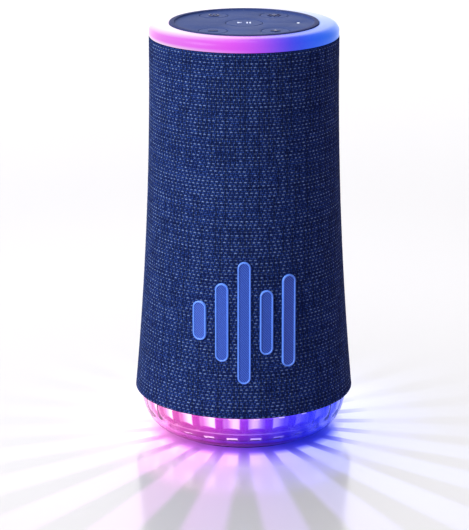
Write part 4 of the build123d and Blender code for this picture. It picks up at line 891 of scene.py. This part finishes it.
def symbol_outlines(name):
    """Closed outlines of a key's symbol in mm about its centre."""
    if name == "play":
        bars = [[(x - 0.35, -1.2), (x + 0.35, -1.2), (x + 0.35, 1.2), (x - 0.35, 1.2)] for x in (1.3, 2.6)]
        return [[(-2.9, -1.25), (-0.8, 0.0), (-2.9, 1.25)]] + bars
    if name == "power":
        start, end, steps = radians(125), radians(415), 40
        arc = [start + (end - start) * k / steps for k in range(steps + 1)]
        ring = [(2.3 * cos(t), 2.3 * sin(t)) for t in arc] + [(1.75 * cos(t), 1.75 * sin(t)) for t in reversed(arc)]
        return [ring, [(-0.3, 0.4), (0.3, 0.4), (0.3, 2.8), (-0.3, 2.8)]]
    if name == "light":
        middle = [(1.2 * cos(tau * k / 32), 1.2 * sin(tau * k / 32)) for k in range(32)]
        rays = []
        for k in range(8):
            c, s = cos(tau * k / 8), sin(tau * k / 8)
            rays.append([(r * c - w * s, r * s + w * c) for r, w in ((1.85, -0.25), (2.95, -0.25), (2.95, 0.25), (1.85, 0.25))])
        return [middle] + rays
    if name == "volume_up":
        a, b = 0.4, 2.1
        return [[(-b, -a), (-a, -a), (-a, -b), (a, -b), (a, -a), (b, -a), (b, a), (a, a), (a, b), (-a, b), (-a, a), (-b, a)]]
    return [[(-2.1, -0.4), (2.1, -0.4), (2.1, 0.4), (-2.1, 0.4)]]


for name, (x, y, radius) in KEYS.items():
    flange_top = field_z - PANEL_T - STOP_GAP
    cap = [(0.0, field_z - 0.12), (radius * 0.5, field_z - 0.1), (radius * 0.8, field_z - 0.04), (radius - 0.3, field_z)]
    cap += [(radius - 0.12, field_z - 0.05), (radius - 0.02, field_z - 0.18), (radius, field_z - 0.35), (radius, flange_top)]
    cap += [(radius + FLANGE, flange_top), (radius + FLANGE, flange_top - 1.0), (STEM_R, flange_top - 1.0)]
    cap += [(STEM_R, flange_top - 1.5), (0.0, flange_top - 1.5)]
    key_obj = piece(name + "_key_cap", *turned(cap, 96, (x, y), closed=False), name + "_button", key_blue.material,
                    [name + "_key"], "panel_blue", edge_deg=40)
    shaper = bmesh.new()
    for outline in symbol_outlines(name):
        low = [shaper.verts.new(((x + px) * MM, (y + py) * MM, (field_z - 0.2) * MM)) for px, py in outline]
        high = [shaper.verts.new(((x + px) * MM, (y + py) * MM, (field_z + 0.22) * MM)) for px, py in outline]
        bridge(shaper, low, high)
        shaper.faces.new(high)
    shaper.edges.ensure_lookup_table()
    rim = [e for e in shaper.edges if all(v.co.z > field_z * MM for v in e.verts)]
    bmesh.ops.bevel(shaper, geom=rim, offset=0.08 * MM, segments=2, affect="EDGES", profile=0.5)
    bmesh.ops.triangulate(shaper, faces=[f for f in shaper.faces if len(f.verts) > 4])
    symbol_mesh = bpy.data.meshes.new("symbol")
    shaper.to_mesh(symbol_mesh)
    shaper.free()
    ink = pale_ink_and_glow if name == "play" else dark_ink
    piece(name + "_symbol", [v.co for v in symbol_mesh.vertices], [p.vertices for p in symbol_mesh.polygons],
          name + "_button", ink.material, slot="panel_blue", edge_deg=30)

status = Paint("status_light_pipe")
off_middle = status.node("ShaderNodeVectorMath", operation="DISTANCE", _0=status.node("ShaderNodeTexCoord").outputs["Object"],
                         _1=(STATUS_X * MM, 0.0, field_z * MM)).outputs["Value"]
lit = status.node("ShaderNodeMapRange", Value=off_middle, From_Min=0.0007, From_Max=0.0004).outputs["Result"]
status.join(mix_color(status.tree, lit, (0.02, 0.03, 0.09, 1), (0.85, 0.92, 1, 1)), "Emission Color")
status.set(Base_Color=(0.03, 0.04, 0.1, 1), Roughness=0.25, Emission_Strength=1.6, Specular_IOR_Level=0.2)
finish_cad(status.material, "status_light")

# ------------------------------------------------------------------------- light on the floor
# The fluted bowl throws 24 broad rays on the table, pink on the left, violet in front and blue on
# the right. One lamp above a round coloured slide draws them; it lights only the floor.
floor_group = bpy.data.collections.new("floor_only")
slide_group = bpy.data.collections.new("ray_slide_only")
bpy.context.scene.collection.children.link(floor_group)
bpy.context.scene.collection.children.link(slide_group)
LAMP_Z, SLIDE_Z, SLIDE_R, NEAR_GAIN, RAY_GAIN = 900.0, 800.0, 60.0, 1.0, 0.7
WASH_FRONT, WASH_LEFT = 0.16, 0.2
slide_verts = [(SLIDE_R * cos(tau * k / 64) * MM, SLIDE_R * sin(tau * k / 64) * MM, SLIDE_Z * MM) for k in range(64)]
slide_mesh = bpy.data.meshes.new("ray_slide")
slide_mesh.from_pydata(slide_verts, [], [tuple(range(64))])
slide = bpy.data.objects.new("ray_slide", slide_mesh)
slide_group.objects.link(slide)
for kind in ("camera", "diffuse", "glossy", "transmission", "volume_scatter"):
    setattr(slide, "visible_" + kind, False)
RAY_COLORS = [
    (-180, rgb(226, 222, 255)), (-110, rgb(255, 226, 250)), (-75, rgb(250, 206, 246)), (-45, rgb(240, 160, 236)),
    (-20, rgb(236, 130, 240)), (0, rgb(204, 138, 250)), (20, rgb(160, 150, 250)), (45, rgb(150, 170, 250)),
    (80, rgb(176, 196, 255)), (120, rgb(200, 210, 255)), (180, rgb(226, 222, 255)),
]
NEAR_COLORS = [
    (-180, rgb(200, 196, 255)), (-110, rgb(255, 200, 246)), (-75, rgb(240, 140, 220)), (-45, rgb(200, 90, 206)),
    (-20, rgb(176, 74, 224)), (0, rgb(134, 66, 232)), (20, rgb(84, 66, 232)), (45, rgb(24, 40, 222)),
    (80, rgb(44, 70, 226)), (120, rgb(150, 170, 255)), (180, rgb(200, 196, 255)),
]


def ray_pattern_group():
    """The rays on the table: distance from the middle in mm, turn, and a mask that is 1 inside a ray."""
    outputs = [("Reach", "Float"), ("Turn", "Float"), ("In Ray", "Float"), ("Number", "Float")]
    tree, given, result = new_group("ray_pattern", [("Magnify", "Float", 1.0)], outputs)
    place = tree.nodes.new("ShaderNodeTexCoord").outputs["Object"]
    split = add_node(tree, "ShaderNodeSeparateXYZ", Vector=place)
    flat_place = add_node(tree, "ShaderNodeCombineXYZ", X=split.outputs["X"], Y=split.outputs["Y"]).outputs[0]
    from_middle = add_node(tree, "ShaderNodeVectorMath", operation="LENGTH", _0=flat_place).outputs["Value"]
    reach = math(tree, "MULTIPLY", math(tree, "MULTIPLY", from_middle, given.outputs["Magnify"]), 1 / MM)
    where = tree.nodes.new("ShaderNodeGroup")
    where.node_tree = BEARING
    steps = math(tree, "MULTIPLY", where.outputs["Turn"], float(BAYS))
    across = math(tree, "ABSOLUTE", math(tree, "MULTIPLY_ADD", math(tree, "FRACT", steps), 2.0, -1.0))
    half = add_node(tree, "ShaderNodeMapRange", Value=reach, From_Min=60.0, From_Max=150.0, To_Min=0.62, To_Max=0.5).outputs["Result"]
    inside = add_node(tree, "ShaderNodeMapRange", Value=math(tree, "SUBTRACT", half, across), From_Min=-0.07, From_Max=0.07)
    tree.links.new(reach, result.inputs["Reach"])
    tree.links.new(where.outputs["Turn"], result.inputs["Turn"])
    tree.links.new(inside.outputs["Result"], result.inputs["In Ray"])
    tree.links.new(math(tree, "FLOOR", steps), result.inputs["Number"])
    return tree


RAY_PATTERN = ray_pattern_group()
gel = bpy.data.materials.new("ray_slide_gel")
gel.use_nodes = True
tree = gel.node_tree
tree.nodes.remove(tree.nodes["Principled BSDF"])
shown = tree.nodes.new("ShaderNodeBsdfTransparent")
tree.links.new(shown.outputs[0], tree.nodes["Material Output"].inputs["Surface"])
pattern = tree.nodes.new("ShaderNodeGroup")
pattern.node_tree = RAY_PATTERN
pattern.inputs["Magnify"].default_value = LAMP_Z / (LAMP_Z - SLIDE_Z)
reach, turn = pattern.outputs["Reach"], pattern.outputs["Turn"]
ray_start = add_node(tree, "ShaderNodeMapRange", Value=reach, From_Min=38.0, From_Max=42.5).outputs["Result"]
each = add_node(tree, "ShaderNodeTexWhiteNoise", Vector=add_node(tree, "ShaderNodeCombineXYZ", X=pattern.outputs["Number"]).outputs[0])
off_front = math(tree, "ABSOLUTE", math(tree, "SUBTRACT", turn, 0.5))
side_power = add_node(tree, "ShaderNodeMapRange", Value=off_front, From_Min=0.1, From_Max=0.24, To_Min=1.0, To_Max=0.3).outputs["Result"]
ray_power = math(tree, "MULTIPLY", math(tree, "MULTIPLY_ADD", each.outputs["Value"], 0.25, 0.75), side_power)
ray_end = add_node(tree, "ShaderNodeMapRange", Value=off_front, From_Min=0.08, From_Max=0.22, To_Min=300.0, To_Max=150.0).outputs["Result"]
ray_fade = add_node(tree, "ShaderNodeMapRange", Value=reach, From_Min=50.0, From_Max=ray_end, To_Min=1.0, To_Max=0.0)
ray_fade.interpolation_type = "SMOOTHERSTEP"
hot_core = add_node(tree, "ShaderNodeMapRange", Value=reach, From_Min=43.0, From_Max=62.0, To_Min=2.0, To_Max=1.0).outputs["Result"]
ray = math(tree, "MULTIPLY", math(tree, "MULTIPLY", pattern.outputs["In Ray"], ray_start), math(tree, "MULTIPLY", ray_power, ray_fade.outputs["Result"]))
ray = math(tree, "MULTIPLY", ray, hot_core)
glow_fade = add_node(tree, "ShaderNodeMapRange", Value=reach, From_Min=35.0, From_Max=95.0, To_Min=1.0, To_Max=0.0)
glow_fade.interpolation_type = "SMOOTHERSTEP"
left_wash = add_node(tree, "ShaderNodeMapRange", Value=turn, From_Min=0.52, From_Max=0.34, To_Min=WASH_FRONT, To_Max=WASH_LEFT).outputs["Result"]
wash_fade = add_node(tree, "ShaderNodeMapRange", Value=reach, From_Min=180.0, From_Max=480.0, To_Min=1.0, To_Max=0.0)
wash_fade.interpolation_type = "SMOOTHERSTEP"
near_light = mix_color(tree, 1.0, glow_ramp(tree, turn, NEAR_COLORS), math(tree, "MULTIPLY", glow_fade.outputs["Result"], NEAR_GAIN), "MULTIPLY")
ray_light = mix_color(tree, 1.0, glow_ramp(tree, turn, RAY_COLORS), math(tree, "MULTIPLY", ray, RAY_GAIN), "MULTIPLY")
wash_light = math(tree, "MULTIPLY", left_wash, wash_fade.outputs["Result"])
lit_floor = mix_color(tree, 1.0, near_light, ray_light, "ADD")
tree.links.new(mix_color(tree, 1.0, lit_floor, wash_light, "ADD"), shown.inputs["Color"])
slide_mesh.materials.append(gel)
slide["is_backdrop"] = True
data = bpy.data.lights.new("ray_lamp", "SPOT")
data.energy, data.shadow_soft_size = 24.0, 0.0002
data.spot_size, data.spot_blend = radians(60), 0.1
lamp = bpy.data.objects.new("ray_lamp", data)
bpy.context.scene.collection.objects.link(lamp)
lamp.location = (0, 0, LAMP_Z * MM)
lamp.visible_glossy = False
lamp.light_linking.receiver_collection = floor_group
lamp.light_linking.blocker_collection = slide_group

# ------------------------------------------------------------------------------------ studio
# A plain pale glossy table under a bright, even sky that is strongest behind the speaker, with one
# large soft lamp from the left. The lamp lights only the speaker, so the table stays even.
floor_verts, floor_faces = turned([(0.0, 0.0), (60.0, 0.0), (200.0, 0.0), (900.0, 0.0), (6000.0, 0.0)], 96, closed=False)
floor_mesh = bpy.data.meshes.new("floor")
floor_mesh.from_pydata(floor_verts, [], floor_faces)
floor = bpy.data.objects.new("floor", floor_mesh)
floor_group.objects.link(floor)
# Near the base the table's own colour is painted with the base's coloured glow and a painted shade, which reach further
# between the rays.
NEAR_BASE_GLOW_SHADE = [
    (-180, rgb(230, 230, 255)), (-100, rgb(255, 240, 250)), (-60, rgb(236, 176, 230)), (-25, rgb(200, 140, 235)),
    (0, rgb(176, 136, 240)), (25, rgb(100, 96, 225)), (50, rgb(60, 70, 215)), (85, rgb(70, 90, 225)), (180, rgb(230, 230, 255)),
]
table = Paint("pale_table")
mottle = table.node("ShaderNodeTexNoise", Scale=6.0, Detail=3.0).outputs["Fac"]
pale = mix_color(table.tree, mottle, (0.88, 0.87, 0.885, 1), (0.91, 0.90, 0.915, 1))
pattern = table.group(RAY_PATTERN, Magnify=1.0)
between = math(table.tree, "SUBTRACT", 1.0, pattern.outputs["In Ray"])
painted_glow_end = math(table.tree, "MULTIPLY_ADD", between, 14.0, 45.0)
painted_glow_shade = table.node("ShaderNodeMapRange", Value=pattern.outputs["Reach"], From_Min=40.0, From_Max=painted_glow_end, To_Min=0.92, To_Max=0.0).outputs["Result"]
painted_glow_color = mix_color(table.tree, 1.0, pale, glow_ramp(table.tree, pattern.outputs["Turn"], NEAR_BASE_GLOW_SHADE), "MULTIPLY")
table.join(mix_color(table.tree, painted_glow_shade, pale, painted_glow_color), "Base Color")
table.set(Roughness=0.6, Coat_Weight=1.0, Coat_Roughness=0.13, Coat_IOR=1.5, Specular_IOR_Level=0.3)
floor_mesh.materials.append(table.material)
floor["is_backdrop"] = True

world = bpy.data.worlds.new("studio")
bpy.context.scene.world = world
world.use_nodes = True
tree = world.node_tree
background = tree.nodes["Background"]
direction = tree.nodes.new("ShaderNodeTexCoord").outputs["Generated"]
split = add_node(tree, "ShaderNodeSeparateXYZ", Vector=direction)
behind = add_node(tree, "ShaderNodeMapRange", Value=split.outputs["Y"], From_Min=0.55, From_Max=0.92, To_Min=0.0, To_Max=1.35)
behind.interpolation_type = "SMOOTHSTEP"
leftward = add_node(tree, "ShaderNodeMapRange", Value=split.outputs["X"], From_Min=0.7, From_Max=-0.9, To_Min=0.015, To_Max=0.77)
above = add_node(tree, "ShaderNodeMapRange", Value=split.outputs["Z"], From_Min=0.2, From_Max=1.0, To_Min=0.0, To_Max=0.5)
sky = math(tree, "ADD", behind.outputs["Result"], math(tree, "ADD", leftward.outputs["Result"], above.outputs["Result"]))
seen = add_node(tree, "ShaderNodeLightPath").outputs["Is Camera Ray"]
strength = add_node(tree, "ShaderNodeMix", _0=seen, _2=sky, _3=1.0).outputs[0]
background.inputs["Color"].default_value = (0.99, 0.98, 1.0, 1)
tree.links.new(strength, background.inputs["Strength"])

speaker_group = bpy.data.collections.new("speaker_only")
bpy.context.scene.collection.children.link(speaker_group)
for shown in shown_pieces():
    if shown.name not in speaker_group.objects:
        speaker_group.objects.link(shown)
SOFT_LAMPS = [
    ("left_softbox", (-700, -520, 420), 520, 8.0, (0.92, 0.95, 1.0)),
    ("top_softbox", (-120, -60, 900), 500, 4.0, (1.0, 1.0, 1.0)),
    ("violet_rim", (620, -160, 160), 300, 0.45, (0.42, 0.12, 1.0)),
]
for name, place_mm, size_mm, power, color in SOFT_LAMPS:
    data = bpy.data.lights.new(name, "AREA")
    data.shape, data.size, data.energy, data.color = "DISK", size_mm * MM, power, color
    lamp = bpy.data.objects.new(name, data)
    bpy.context.scene.collection.objects.link(lamp)
    lamp.location = Vector(place_mm) * MM
    lamp.rotation_euler = (Vector((0, 0, 95 * MM)) - lamp.location).to_track_quat("-Z", "Y").to_euler()
    lamp.light_linking.receiver_collection = speaker_group

# ------------------------------------------------------------------------------- bounds
# The box of what is shown is measured.
low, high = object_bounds()
